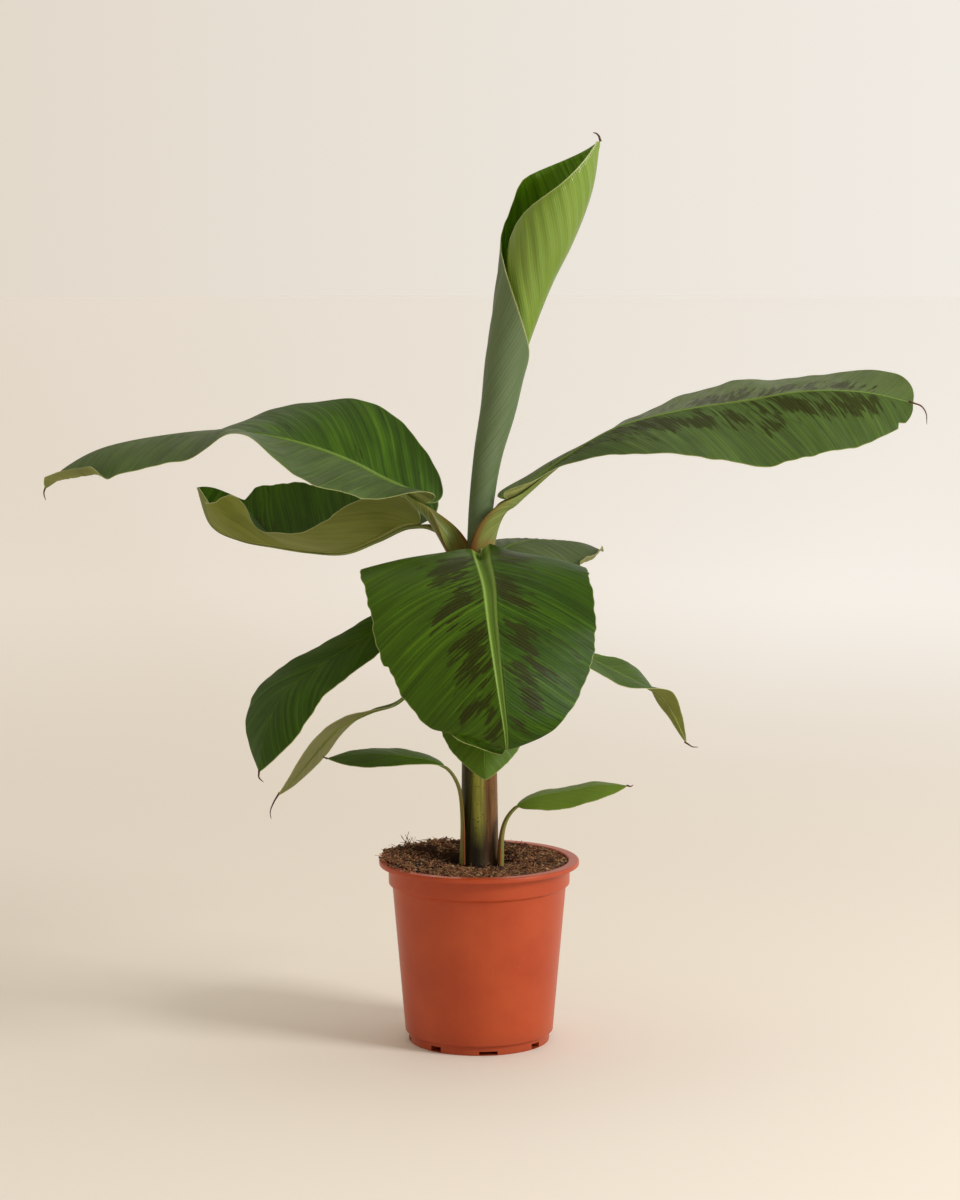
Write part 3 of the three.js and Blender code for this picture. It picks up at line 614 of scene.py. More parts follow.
def stem_sheaths():
    """Pseudostem: leaf sheaths wrapped round one another, smooth but fibrous. Live ones are olive and
    yellow-green, older ones stained nearly black or dried brown, with black specks."""
    m = start_material("stem_sheaths")
    where = add(m, "TexCoord").outputs["Object"]
    split = add(m, "SeparateXYZ", (where,))
    stretched = add(m, "Mapping", {"Vector": where, "Scale": (1.0, 1.0, 0.1)})
    fibre = add(m, "TexNoise", {"Vector": stretched, "Scale": 300.0, "Detail": 4.0, "Roughness": 0.6})
    patch = add(m, "TexNoise", {"Vector": stretched, "Scale": 60.0, "Detail": 3.0})
    uneven = add(m, "Math", (patch, 0.5), operation="SUBTRACT")
    # from one side of the stem to the other, in shares of its width
    side = add(m, "Math", (split.outputs["X"], 1 / STEM_WIDTH, 0.5), operation="MULTIPLY_ADD")
    side = add(m, "Math", (uneven, 0.3, side), operation="MULTIPLY_ADD")
    upper = add(m, "ValToRGB", (side,), stops=[
        (0.0, "#4c4a1c"), (0.18, "#362a0e"), (0.32, "#4c4a18"), (0.42, "#7f7d26"), (0.6, "#8b8838"),
        (0.68, "#6a451f"), (0.86, "#7d5730"), (1.0, "#8a6a44")])
    lower = add(m, "ValToRGB", (side,), stops=[
        (0.0, "#4a4018"), (0.22, "#33280d"), (0.36, "#241a0a"), (0.62, "#21150b"), (0.74, "#523620"),
        (1.0, "#6b4c2a")])
    height = add(m, "MapRange", (split.outputs["Z"], 0.235, 0.275))
    height = add(m, "Math", (uneven, 0.9, height), operation="MULTIPLY_ADD", use_clamp=True)
    crown = add(m, "MapRange", (split.outputs["Z"], 0.42, 0.52))
    green = add(m, "ValToRGB", (fibre,), stops=[(0.3, "#515c20"), (0.7, "#7c8838")])
    colour = coats(m, lower, [(height, upper), (crown, green)])
    tone = add(m, "ValToRGB", (fibre,), stops=[(0.3, "#8e8e86"), (0.65, "#ffffff")])
    colour = add(m, "Mix", {0: 0.6, 6: colour, 7: tone}, data_type="RGBA", blend_type="MULTIPLY")
    # specks a millimetre across, in groups
    specks = add(m, "TexVoronoi", {"Vector": where, "Scale": 260.0}).outputs["Distance"]
    groups = add(m, "TexNoise", {"Vector": where, "Scale": 70.0})
    dots = add(m, "Math", (add(m, "Math", (specks, 0.2), operation="LESS_THAN"),
                           add(m, "Math", (groups, 0.52), operation="GREATER_THAN")), operation="MULTIPLY")
    colour = coats(m, colour, [(add(m, "Math", (dots, 0.9), operation="MULTIPLY"), "#1a110a")])
    return finish_material(m, surface(m, colour, 0.5, fibre, relief=0.5, depth=0.001, shine=0.25))


def dried_tip():
    """Withered tissue: leaf tips dried to brown threads, matt and brittle."""
    m = start_material("dried_tip")
    where = add(m, "TexCoord").outputs["Object"]
    noise = add(m, "TexNoise", {"Vector": where, "Scale": 400.0, "Detail": 2.0})
    tone = add(m, "ValToRGB", (noise,), stops=[(0.3, "#2e1c10"), (0.7, "#6b4a2b")])
    return finish_material(m, surface(m, tone, 0.8))


def pot_plastic():
    """Nursery pot: injection-moulded polypropylene in terracotta colour, a soft gloss with the mould's fine
    grain, light scuffs and a little dust near the foot."""
    m = start_material("pot_plastic")
    where = add(m, "TexCoord").outputs["Object"]
    level = add(m, "SeparateXYZ", (where,)).outputs["Z"]
    cloud = add(m, "TexNoise", {"Vector": where, "Scale": 14.0, "Detail": 4.0, "Roughness": 0.6})
    grain = add(m, "TexNoise", {"Vector": where, "Scale": 1400.0, "Detail": 2.0})
    base = add(m, "ValToRGB", (cloud,), stops=[(0.3, "#aa3e19"), (0.7, "#b84c22")])
    thin = add(m, "Mapping", {"Vector": where, "Rotation": (0.3, 0.5, 0.2), "Scale": (3.0, 3.0, 0.5)})
    scratch = add(m, "TexNoise", {"Vector": thin, "Scale": 120.0, "Detail": 6.0, "Roughness": 0.75})
    scuffs = add(m, "MapRange", (scratch, 0.64, 0.74, 0.0, 0.3))
    dust = add(m, "Math", (cloud, add(m, "MapRange", (level, 0.03, 0.0, 0.0, 0.5))), operation="MULTIPLY")
    colour = coats(m, base, [(scuffs, "#cf8a68"), (dust, "#7a4128")])
    rough = add(m, "MapRange", (cloud, 0.3, 0.7, 0.33, 0.43))
    height = add(m, "Math", (grain, 0.4, cloud), operation="MULTIPLY_ADD")
    face = surface(m, colour, rough, height, relief=0.12, depth=0.0008, shine=0.35, ior=1.49)
    return finish_material(m, face)


def soil_tone(name, dark, light, scale):
    """Damp peat and coir compost: brown, matt, broken into crumbs."""
    m = start_material(name)
    where = add(m, "TexCoord").outputs["Object"]
    noise = add(m, "TexNoise", {"Vector": where, "Scale": scale, "Detail": 5.0, "Roughness": 0.65})
    tone = add(m, "ValToRGB", (noise,), stops=[(0.32, dark), (0.68, light)])
    return finish_material(m, surface(m, tone, 0.92, noise, relief=0.7, depth=0.002, ior=1.4))


UPPER = leaf_upper("leaf_upper_wax", "#2a4505", "#3c5f07", "#5a8213", "#2b1d0c", 0.42)
UNDER = leaf_under("leaf_underside", "#8a9538", "#a8af50", "#bbbe72", "#a2b818")
ROLLED_OUTSIDE = rolled_outside()
ROLLED_INSIDE = leaf_upper("rolled_leaf_inside", "#547f10", "#6a9a18", "#8dbb2c", "#33501a", 0.33)
MARGIN = leaf_edge()
STALK = stalk_tissue()
STEM = stem_sheaths()
DRY = dried_tip()
PLASTIC = pot_plastic()
SOIL_TONES = [
    soil_tone("peat_dark", "#40261a", "#7a5034", 300.0),
    soil_tone("coir_red", "#754a2f", "#ab734c", 500.0),
    soil_tone("coir_pale", "#9a744f", "#cfa97d", 500.0),
    soil_tone("bark_black", "#1d120b", "#453023", 400.0),
]


# ---------------------------------------------------------------- leaves
BLADE_GRID = (64, 210)  # across and along
RIB_SPREAD = 1.5  # vertices crowd towards the rib by this power
END_SPREAD = 0.45  # and towards the blade's two ends by this share
LEAST_WIDTH = 1.0
RIB_TIP = 0.5  # the rib's half width at the leaf's tip
STALK_RUN_OUT = 0.05  # share of the blade over which the stalk's extra width dies away
HEM_BEND = 0.45  # share of a hem that bends; the rest lies straight
HEM_ENDS = 0.05  # share of the blade over which a hem starts and stops
PLEATS = ((17.0, 0.0, 0.62), (10.6, 1.3, 0.38))  # folds along the veins: mm apart, phase, share of the height


def outline_share(outline, b):
    """Share of the full half width at b: 0 at the blade's base, 1 where it is widest, 0 at the tip."""
    swell, peak, end = outline
    rise = np.sqrt(1 - (1 - np.minimum(b / swell, 1)) ** 2)
    fall = np.clip((b - peak) / (1 - peak), 0, 1)
    return rise * (1 - fall**2.2) ** end


def rib_width(leaf, b):
    """Half width of the midrib at b."""
    return leaf["rib"] * (1 - b) ** 0.9 + RIB_TIP + leaf["rib_base"] * np.exp(-b / STALK_RUN_OUT)


def rolled(left, up, angle):
    """A frame rolled about its tangent."""
    turn = angle[:, None]
    return left * np.cos(turn) + up * np.sin(turn), up * np.cos(turn) - left * np.sin(turn)


def either(pair, b, q):
    """Values at b of the left half's keys or the right half's."""
    return np.where(q >= 0, along(pair[0], b), along(pair[1], b))


def on_half(q, half):
    return (q >= 0) == (half == "L")


def blade_width(leaf, number, b, q):
    """Half width of the blade: its outline, a little uneven, with the nicks torn out."""
    width = leaf["half_width"] * outline_share(leaf["outline"], b) * either(leaf["share"], b, q)
    width = np.maximum(width, LEAST_WIDTH)
    width = width * (1 + 0.006 * np.sin(b * 61 + number) + 0.004 * np.sin(b * 143 + 3 * number + np.sign(q)))
    for half, start, depth, run in leaf["nicks"]:
        past = (b - start) / run
        torn = (past > 0) & (past < 1) & on_half(q, half)
        width = np.maximum(width - depth * np.where(torn, 1 - past, 0) * smooth(past, 0, 0.08), LEAST_WIDTH)
    return width


def hem_size(leaf, b, q, width):
    """How many millimetres of the margin are rolled up, and how far they turn."""
    size, turn = np.zeros_like(b), np.full_like(b, 0.01)
    for half, start, end, most, degrees in leaf["hems"]:
        there = smooth(b, start, start + HEM_ENDS) * (1 - smooth(b, end - HEM_ENDS, end)) * on_half(q, half)
        size = size + np.minimum(most, 0.6 * width) * there
        turn = turn + math.radians(degrees) * there
    return size, turn


def cross_section(leaf, b, q, width):
    """How far out and up each point lies from the rib: a curved half, then the hem rolled on from it."""
    a = np.abs(q)
    hem, hem_turn = hem_size(leaf, b, q, width)
    curl, lift = np.radians(either(leaf["curl"], b, q)), np.radians(either(leaf["lift"], b, q))
    flat = np.minimum(a, 1 - hem / width)
    angle = lift + curl * flat / 2
    reach = width * flat * np.sinc(curl * flat / 2 / np.pi)
    edge = lift + curl * flat
    folded = np.maximum(a - flat, 0) * width
    radius = HEM_BEND * hem / hem_turn
    turn = np.minimum(folded / np.maximum(radius, 0.01), hem_turn)
    straight = np.maximum(folded - HEM_BEND * hem, 0)
    bend_out, bend_rise = np.sin(edge + turn) - np.sin(edge), np.cos(edge) - np.cos(edge + turn)
    out = reach * np.cos(angle) + radius * bend_out + straight * np.cos(edge + hem_turn)
    rise = reach * np.sin(angle) + radius * bend_rise + straight * np.sin(edge + hem_turn)
    return out, rise


def blade_relief(leaf, number, b, q, width, vein):
    """Height of the margin's waves, the pleats along the veins, the rib's channel and shoulders, and the
    humps."""
    a = np.abs(q)
    fullness = width / leaf["half_width"]
    height, count, phase = leaf["waves"]
    swing = 2 * math.pi * (count * b + phase) + np.where(q >= 0, 0, 1.9)
    wave = np.sin(swing) + 0.45 * np.sin(2.3 * swing + 1) + 0.15 * np.sin(5.1 * swing)
    wave = height * a**2.5 * fullness * wave
    pleat = sum(share * np.sin(2 * math.pi * vein / gap + start + number) for gap, start, share in PLEATS)
    uneven = 0.65 + 0.35 * np.sin(vein / 31 + number)
    pleat = leaf["pleat"] * pleat * uneven * smooth(a, 0.05, 0.25) * (1 - smooth(a, 0.6, 0.98)) * fullness
    rib = rib_width(leaf, b)
    rib_share = width * a / rib
    channel = -0.55 * np.minimum(rib, leaf["rib"]) * (1 - smooth(rib_share, 0.35, 1.0)) * smooth(b, 0, 0.03)
    shoulder = 0.12 * rib * np.exp(-(((rib_share - 1.0) / 0.35) ** 2))
    hump = np.where(q >= 0, *leaf["hump"]) * np.exp(-((a - 0.24) / 0.13) ** 2 - (b / 0.07) ** 2)
    return wave + pleat + channel + shoulder + hump


def blade_points(leaf, number, b, q):
    """Points of the blade's upper face at b along it and q across it, from -1 to 1, and the values that its
    finish reads."""
    spine, _ = leaf_spine(leaf)
    a = np.abs(q)
    width = blade_width(leaf, number, b, q)
    distance = width * a
    shift = along(leaf["sweep"], b) * (width - LEAST_WIDTH) * a**1.5 / spine.length
    place = (1 - leaf["blade_from"]) * b + shift
    point, _, left, up = spine.frames(leaf["blade_from"] + place)
    left, up = rolled(left, up, np.radians(along(leaf["roll"], b)))
    out, rise = cross_section(leaf, b, q, width)
    # a vein leaves the rib steeply, then runs straight out
    vein = place * spine.length - along(leaf["veins"], b) * distance - 5 * (1 - np.exp(-distance / 7))
    rise = rise + blade_relief(leaf, number, b, q, width, vein)
    points = point + left * (np.sign(q) * out)[:, None] + up * rise[:, None]
    inner = np.exp(-((a - 0.25) / 0.36) ** 2) * smooth(b, 0.02, 0.15) * (1 - smooth(b, 0.85, 1))
    same = np.ones(len(b))
    values = dict(
        vein_mm=vein, across_mm=width * q, edge_mm=width * (1 - a), leaf_number=number * same,
        rib_share=np.minimum(distance / rib_width(leaf, b), 3), rib_show=leaf["rib_show"] * same,
        blotch=leaf["blotch"] * (0.1 + inner) - 0.3 * (1 - inner),
        # bloom: grey wax with painted sheen
        tone=np.where(q >= 0, leaf["tone_and_shade_left"], leaf["tone"]), bloom_and_sheen=np.where(q >= 0, *leaf["bloom_and_sheen"]),
    )
    return points, values


def make_blade(key, leaf, number):
    def place(u, v):
        s = 1 - 2 * u
        q = np.sign(s) * np.abs(s) ** RIB_SPREAD
        b = (1 - END_SPREAD) * v + END_SPREAD * (1 - np.cos(math.pi * v)) / 2
        return blade_points(leaf, number, b, q)

    sheet = bent_grid("leaf_" + key + "_blade", *BLADE_GRID, place)
    solid = thicken(sheet, BLADE_THICKNESS, [UPPER, UNDER, MARGIN])
    piece(solid, "leaf", "leaf_" + key)


def dry_thread(name, points, side, start, thick, taper, least):
    """A withered thread at a leaf's tip. It begins at start, a share before its first point, in the leaf."""
    spine = Spine(points, side)

    def place(u, v):
        radius = thick * (1 - v) ** taper + least
        return ring(spine.frames(start + (1 - start) * v), radius, 2 * math.pi * u), {}

    mesh = bent_grid(name, *THREAD_GRID, place, closed=True)
    mesh.materials.append(DRY)
    piece(mesh, "leaf")


STALK_GROOVE = 0.72  # depth of the channel as a share of the stalk's own depth
STALK_TAPER = 1.2
STALK_END = 0.985  # share of the spine where the rib under the blade ends
STALK_GRID = (36, 130)
RIB_DROP = 0.3  # the rib hangs this share of its half width below the blade
THREAD_GRID = (10, 18)


def make_stalk(key, leaf):
    """The stalk is a channelled half pipe that clasps the stem, and runs on as the rib under the blade."""
    spine, _ = leaf_spine(leaf)
    blade_from = leaf["blade_from"]

    def place(u, v):
        turn = 2 * math.pi * u
        share = v * STALK_END
        b = (share - blade_from) / (1 - blade_from)
        to_blade = np.clip(share / blade_from, 0, 1)
        on_blade = smooth(b, -0.03, 0.04)
        rib = rib_width(leaf, np.clip(b, 0, 1))
        slender = rib_width(leaf, 0) + 1.0
        stalk = slender + (leaf["foot"] - slender) * (1 - to_blade) ** STALK_TAPER
        wide = stalk * (1 - on_blade) + 0.85 * rib * on_blade
        deep = wide * (0.95 + 0.1 * on_blade)
        x, y = np.cos(turn), np.sin(turn)
        section = np.where(y > 0, -STALK_GROOVE * deep * (1 - x**4), deep * y)
        drop = on_blade * (RIB_DROP * rib + BLADE_THICKNESS)
        point, _, left, up = spine.frames(share)
        left, up = rolled(left, up, np.radians(along(leaf["roll"], np.clip(b, 0, 1))))
        left, up = rolled(left, up, math.radians(leaf["stalk_roll"]) * (1 - smooth(to_blade, 0.5, 1)))
        rise = section - drop + 0.15 * wide * (1 - on_blade)
        points = point + left * (wide * x)[:, None] + up * rise[:, None]
        lip = smooth(np.abs(x), 0.86, 0.98) * (1 - on_blade)
        values = dict(along_mm=share * spine.length, across_mm=wide * turn, lip=lip,
                      foot=1 - smooth(to_blade, 0.15, 0.95))
        return points, values

    mesh = bent_grid("stalk_" + key + "_channelled", *STALK_GRID, place, closed=True)
    mesh.materials.append(STALK)
    piece(mesh, "stalk", "stalk_" + key)


def make_tendril(key, leaf):
    spine, out = leaf_spine(leaf)
    tip = spine.point(np.array([1.0]))[0]
    points = [tip + out * away + np.array([0, 0, up]) for away, up in leaf["tendril"]]
    dry_thread("tip_" + key + "_dry", points, spine.side, start=-0.15, thick=1.0, taper=0.7, least=0.25)


for number, (key, leaf) in enumerate(LEAVES.items(), 1):
    make_blade(key, leaf, number)
    make_stalk(key, leaf)
    if leaf["tendril"]:
        make_tendril(key, leaf)


# ---------------------------------------------------------------- rolled leaf
SCROLL_GRID = (180, 200)


def make_spear():
    spine = Spine(SPEAR["axis"], (0, 1, 0))
    number = len(LEAVES) + 1

    def place(u, v):
        q = 2 * u - 1
        outer = q >= 0
        most = np.where(outer, along(SPEAR["turn_outer"], v), along(SPEAR["turn_inner"], v))
        turn = most * q
        base = along(SPEAR["radius"], v)
        a = np.abs(q)
        half = base * np.radians(most)
        slant = v * spine.length - SPEAR["veins"] * half * a
        pleat = 0.7 * np.sin(2 * math.pi * slant / SPEAR["pleat_length"]) * smooth(a, 0.1, 0.3)
        pleat = pleat * (1 - 0.7 * smooth(a, 0.85, 1)) * smooth(v, 0.4, 0.7)
        flare = 1.5 * smooth(a, 0.85, 1) * smooth(v, 0.5, 0.8) * np.where(outer, 1, -1)
        radius = base + SPEAR["layer_step"] * turn / 180 + pleat + flare
        points = ring(spine.frames(v), radius, np.radians(turn - 90))
        rib = 5.0 * (1 - v) ** 0.8 + 1.2
        same = np.ones(len(u))
        values = dict(vein_mm=slant, across_mm=half * q, edge_mm=half * (1 - a), tone=0.0 * same,
                      rib_share=np.minimum(half * a / rib, 3), rib_show=0.5 * same, blotch=-0.5 * same,
                      inner_half=smooth(-q, 0, 0.05), leaf_number=number * same)
        return points, values

    sheet = bent_grid("leaf_rolled_scroll", *SCROLL_GRID, place)
    solid = thicken(sheet, BLADE_THICKNESS, [ROLLED_OUTSIDE, ROLLED_INSIDE, MARGIN])
    piece(solid, "leaf", "leaf_rolled")
    tip = spine.point(np.array([1.0]))[0] + np.array([44, 0, -2])
    points = [tip, tip + [-1, 0, 3], tip + [-4, 0, 6], tip + [-8, 0, 7]]
    dry_thread("tip_rolled_dry", points, (0, 1, 0), start=-0.3, thick=1.3, taper=0.6, least=0.3)


make_spear()


# ---------------------------------------------------------------- pseudostem
STEM_SPINE = [(0, 0, STEM_FOOT), (0, 0, 325), (0, 0, 440), (0, 0, 550), (-3, 4, 606)]
STEM_RADII = [22.5, 21.5, 20.5, 20, 19.5, 18.5, 17, 10]  # from foot to crown
SHEATH_EDGES = [(0.4, 0.5), (2.3, -0.6), (4.1, 0.4), (5.4, -0.3)]  # each free edge's angle and lean, radians
SHEATH_STEP = 1.7
STEM_GRID = (160, 260)


def make_stem():
    """Sheaths wrapped round one another: each free edge stands proud and winds slowly up the stem."""
    spine = Spine(STEM_SPINE, (1, 0, 0))

    def place(u, v):
        turn = 2 * math.pi * u
        radius = along(STEM_RADII, v)
        step = np.zeros(len(u))
        for start, lean in SHEATH_EDGES:
            past = (turn - start - lean * v * 2) % (2 * math.pi)
            step += SHEATH_STEP * np.exp(-past / 0.9) * smooth(past, 0, 0.03)
        swell = 2.2 * np.exp(-((v * 430 / 12) ** 2))
        radius = radius + step * (1 - smooth(v, 0.9, 1)) + swell + 0.35 * np.sin(turn * 3 + v * 9)
        return ring(spine.frames(v), radius, turn), {}

    mesh = bent_grid("pseudostem_sheaths", *STEM_GRID, place, closed=True)
    mesh.materials.append(STEM)
    piece(mesh, "stem", "pseudostem")


make_stem()


# ---------------------------------------------------------------- pot
def spun(name, profile, segments, material):
    """A profile of (radius, height) in millimetres spun round Z, as a closed body."""
    bm = bmesh.new()
    verts = [bm.verts.new((r * MM, 0, z * MM)) for r, z in profile]
    edges = [bm.edges.new(pair) for pair in zip(verts, verts[1:])]
    bmesh.ops.spin(bm, geom=verts + edges, cent=(0, 0, 0), axis=(0, 0, 1), angle=2 * math.pi, steps=segments,
                   use_merge=True)
    bmesh.ops.remove_doubles(bm, verts=bm.verts, dist=WELD)
    bmesh.ops.recalc_face_normals(bm, faces=bm.faces)
    mesh = as_mesh(bm, name)
    mesh.materials.append(material)
    return mesh


def arc(centre, radius, start, end, steps):
    """Points of a rounded corner, between two angles in degrees."""
    angles = [math.radians(start + (end - start) * i / steps) for i in range(steps + 1)]
    return [(centre[0] + radius * math.cos(t), centre[1] + radius * math.sin(t)) for t in angles]


def make_pot():
    band_top = POT_HEIGHT - LIP_HEIGHT
    band_foot = band_top - BAND_HEIGHT
    inner = BAND_RADIUS - POT_WALL
    profile = [(0, 0), (FOOT_RADIUS - 1, 0)]
    profile += arc((FOOT_RADIUS - 0.8, 0.8), 0.8, -90, 0, 3)
    profile += [(FOOT_RADIUS + 0.1, z) for z in (2, 3.5, 5, 6, 7, 8.5)]
    profile += [(FOOT_RADIUS + 0.3, FOOT_HEIGHT - 1.6), (BODY_RADIUS_FOOT - 1.6, FOOT_HEIGHT - 0.4)]
    profile += arc((BODY_RADIUS_FOOT - 1.2, FOOT_HEIGHT + 1.2), 1.2, -80, 0, 4)
    wall_foot, wall_top = FOOT_HEIGHT + 2, band_foot - 5
    for s in np.arange(1, WALL_STEPS + 1) / WALL_STEPS:
        profile.append((BODY_RADIUS_FOOT + (BODY_RADIUS_TOP - BODY_RADIUS_FOOT) * s,
                        wall_foot + (wall_top - wall_foot) * s))
    profile += [(BODY_RADIUS_TOP + 0.4, band_foot - 3.2), (BAND_RADIUS - 1.2, band_foot - 1)]
    profile += arc((BAND_RADIUS - 1.2, band_foot + 0.4), 1.2, -60, 0, 3)
    profile += [(BAND_RADIUS + 0.2, band_foot + 8), (BAND_RADIUS + 0.4, band_top - 1.5)]
    profile += [(BAND_RADIUS + 1.2, band_top - 0.4), (RIM_RADIUS - 2, band_top)]
    profile += arc((RIM_RADIUS - 1.4, band_top + 1.4), 1.4, -90, 0, 4)
    profile += arc((RIM_RADIUS - 2.2, POT_HEIGHT - 2.2), 2.2, 0, 90, 5)
    profile += [(RIM_RADIUS - 6, POT_HEIGHT - 0.2)]
    profile += arc((RIM_RADIUS - LIP_WIDTH, POT_HEIGHT - 2), 2, 80, 180, 5)
    profile += [(inner, band_top - 4), (inner - 0.2, band_foot + 2)]
    profile += [(BODY_RADIUS_TOP - POT_WALL, band_foot - 4), (BODY_RADIUS_TOP - POT_WALL - 1, INNER_FLOOR)]
    profile += [(0, INNER_FLOOR)]
    mesh = spun("pot_moulded", profile, POT_SEGMENTS, PLASTIC)
    bm = bmesh.new()
    bm.from_mesh(mesh)
    # drainage notches through the foot: wide flat ones and narrow tall ones in turn
    for i in range(NOTCH_COUNT):
        middle = math.radians(NOTCH_FIRST + 360 / NOTCH_COUNT * i)
        half, top = NOTCHES[i % 2]
        wall = [f for f in bm.faces if in_notch(f.calc_center_median(), middle, half, top)]
        deep = bmesh.ops.extrude_face_region(bm, geom=wall)["geom"]
        verts = [part for part in deep if isinstance(part, bmesh.types.BMVert)]
        inward = Vector((-math.cos(middle), -math.sin(middle), 0)) * NOTCH_DEPTH * MM
        bmesh.ops.translate(bm, verts=verts, vec=inward)
        bmesh.ops.delete(bm, geom=wall, context="FACES")
    bm.to_mesh(mesh)
    bm.free()
    mesh.set_sharp_from_angle(angle=math.radians(38))
    piece(mesh, "pot", "pot")


def in_notch(centre, middle, half, top):
    """Whether a face of the foot's wall lies in the notch at this angle."""
    radius = math.hypot(centre.x, centre.y) / MM
    away = (math.atan2(centre.y, centre.x) - middle + math.pi) % (2 * math.pi) - math.pi
    return NOTCH_FLOOR < centre.z / MM < top and radius > FOOT_RADIUS - 2 and abs(away) < half


make_pot()


# ---------------------------------------------------------------- soil
HEAP_SIDE = math.radians(150)  # the compost is heaped a little towards this side
SPILL_SIDE = math.radians(172)  # and has spilled on to the lip of the pot here
SPILL_FROM = BAND_RADIUS - POT_WALL
SPILL_CHANCE = 0.05
STEM_CLEAR = 25  # no crumb lies nearer the stem's axis than this, and none but spilled ones beyond SOIL_REACH
SOIL_REACH = 105
TUFT = (-86, 54)  # a tuft of root fibres stands up here, millimetres from the stem's axis
TUFT_FIBRES = 11
SOIL_GRID = (240, 110)
CRUMB_COUNT = 5200
FIBRE_COUNT = 2600
SOIL_LUMPS = ((38, 1.3), (17, 0.9), (8, 0.8), (4.2, 0.6))  # millimetres across and high


def soil_height(x, y):
    """Height of the compost in millimetres at a place in the pot."""
    r = np.hypot(x, y)
    around = np.arctan2(y, x)
    towards = 0.5 + 0.5 * np.cos(around - HEAP_SIDE)
    heap = 2.5 + smooth(r, 24, 60) * (2.5 + 5 * towards) + 2.5 * towards * smooth(r, 80, 104)
    rough = np.zeros_like(x)
    for scale, size in SOIL_LUMPS:
        ridge = np.sin(x / scale * 2.1 + 1.7 * np.sin(y / scale))
        rough += size * ridge * np.cos(y / scale * 1.9 + np.sin(x / scale))
    heaped = SOIL_LEVEL + heap + rough
    return np.where(r > SPILL_FROM, np.maximum(heaped, POT_HEIGHT), heaped)


def make_soil():
    outer = BAND_RADIUS - POT_WALL - 0.3

    def place(u, v):
        turn = 2 * math.pi * u
        r = outer * (0.004 + 0.996 * v)
        x, y = r * np.cos(turn), r * np.sin(turn)
        return np.stack([x, y, soil_height(x, y)], -1), {}

    mesh = bent_grid("soil_surface", *SOIL_GRID, place, closed=True)
    mesh.materials.append(SOIL_TONES[0])
    piece(mesh, "soil", "soil")


def scattered(name, shape, faces, count, make):
    """Many small copies of one shape joined as one mesh. make(i, shape) gives copy i's points and the number
    of its soil tone."""
    points = np.empty((count, len(shape), 3))
    tones = np.empty(count, int)
    for i in range(count):
        points[i], tones[i] = make(i, shape)
    every = np.concatenate([np.asarray(faces) + i * len(shape) for i in range(count)])
    mesh = bpy.data.meshes.new(name)
    mesh.from_pydata((points.reshape(-1, 3) * MM).tolist(), [], every.tolist())
    for m in SOIL_TONES:
        mesh.materials.append(m)
    mesh.polygons.foreach_set("material_index", np.repeat(tones, len(faces)).astype(np.int32))
    mesh.update()
    piece(mesh, "soil")


def small_shape(kind, **settings):
    """Vertices and faces of a small operator shape, to be copied."""
    bm = bmesh.new()
    getattr(bmesh.ops, kind)(bm, **settings)
    bm.verts.ensure_lookup_table()
    verts = np.array([v.co[:] for v in bm.verts])
    faces = [[v.index for v in f.verts] for f in bm.faces]
    bm.free()
    return verts, faces


def random_turn():
    """A random rotation matrix."""
    q = rng.normal(size=4)
    return np.array(Quaternion(q / np.linalg.norm(q)).to_matrix())


def soil_spot():
    """A random place on the compost, outside the stem, or now and then where it has spilled."""
    while True:
        r = SOIL_REACH * math.sqrt(rng.random())
        t = rng.random() * 2 * math.pi
        if rng.random() < SPILL_CHANCE:
            r = SPILL_FROM + (RIM_RADIUS - SPILL_FROM) * rng.random() ** 1.3
            t = SPILL_SIDE + rng.normal() * 0.45
        if r > STEM_CLEAR:
            return r * math.cos(t), r * math.sin(t)


def make_crumbs():
    shape, faces = small_shape("create_icosphere", subdivisions=1, radius=1.0)

    def crumb(_, verts):
        x, y = soil_spot()
        size = 0.7 + 2.4 * rng.random() ** 3
        lumps = verts * (0.7 + 0.6 * rng.random((len(verts), 1)))
        lumps = lumps * size * np.array([1.0, 0.75, 0.6])
        lumps = lumps @ random_turn().T
        z = soil_height(np.array([x]), np.array([y]))[0] + size * 0.35
        return lumps + [x, y, z], rng.choice(4, p=[0.4, 0.33, 0.12, 0.15])

    scattered("soil_crumbs", shape, faces, CRUMB_COUNT, crumb)


def make_fibres():
    shape, faces = small_shape("create_cone", cap_ends=True, segments=4, radius1=1.0, radius2=1.0, depth=1.0)

    def fibre(i, verts):
        x, y = soil_spot()
        length = 4 + 11 * rng.random()
        thick = 0.14 + 0.22 * rng.random()
        heading = rng.random() * 2 * math.pi
        rise = rng.normal() * 0.22
        if i < TUFT_FIBRES:
            x, y = TUFT[0] + rng.normal() * 4, TUFT[1] + rng.normal() * 3
            rise, thick, length = 1.2 + rng.random(), thick + 0.25, 0.6 * length + 3
        way = np.array([math.cos(heading), math.sin(heading), rise])
        side = np.array([-math.sin(heading), math.cos(heading), 0])
        across = verts[:, :1] * thick
        high = verts[:, 1:2] * thick
        far = verts[:, 2:3] * length
        z = soil_height(np.array([x]), np.array([y]))[0] + 0.8 + abs(rise) * length * 0.4
        points = far * way + across * side + high * [0, 0, 1] + [x, y, z]
        return points, rng.choice(4, p=[0.2, 0.4, 0.3, 0.1])

    scattered("soil_fibres", shape, faces, FIBRE_COUNT, fibre)


make_soil()
make_crumbs()
make_fibres()


# ---------------------------------------------------------------- stage
STUDIO_DIM = "#e0d6c7"
STUDIO_BRIGHT = "#f3eee7"
STUDIO_FRONT = "#beb7ac"
FLOOR_NEAR = "#efe7db"
# Far out the floor is painted lighter and glows: painted light standing for the lit back wall
FLOOR_FADE = (0.8, 5.0)  # metres between which the floor takes the back wall's tint
FLOOR_GLOW = 0.19  # how far the light from the back wall lifts the floor beside it
FLOOR_REACH = 40.0  # metres


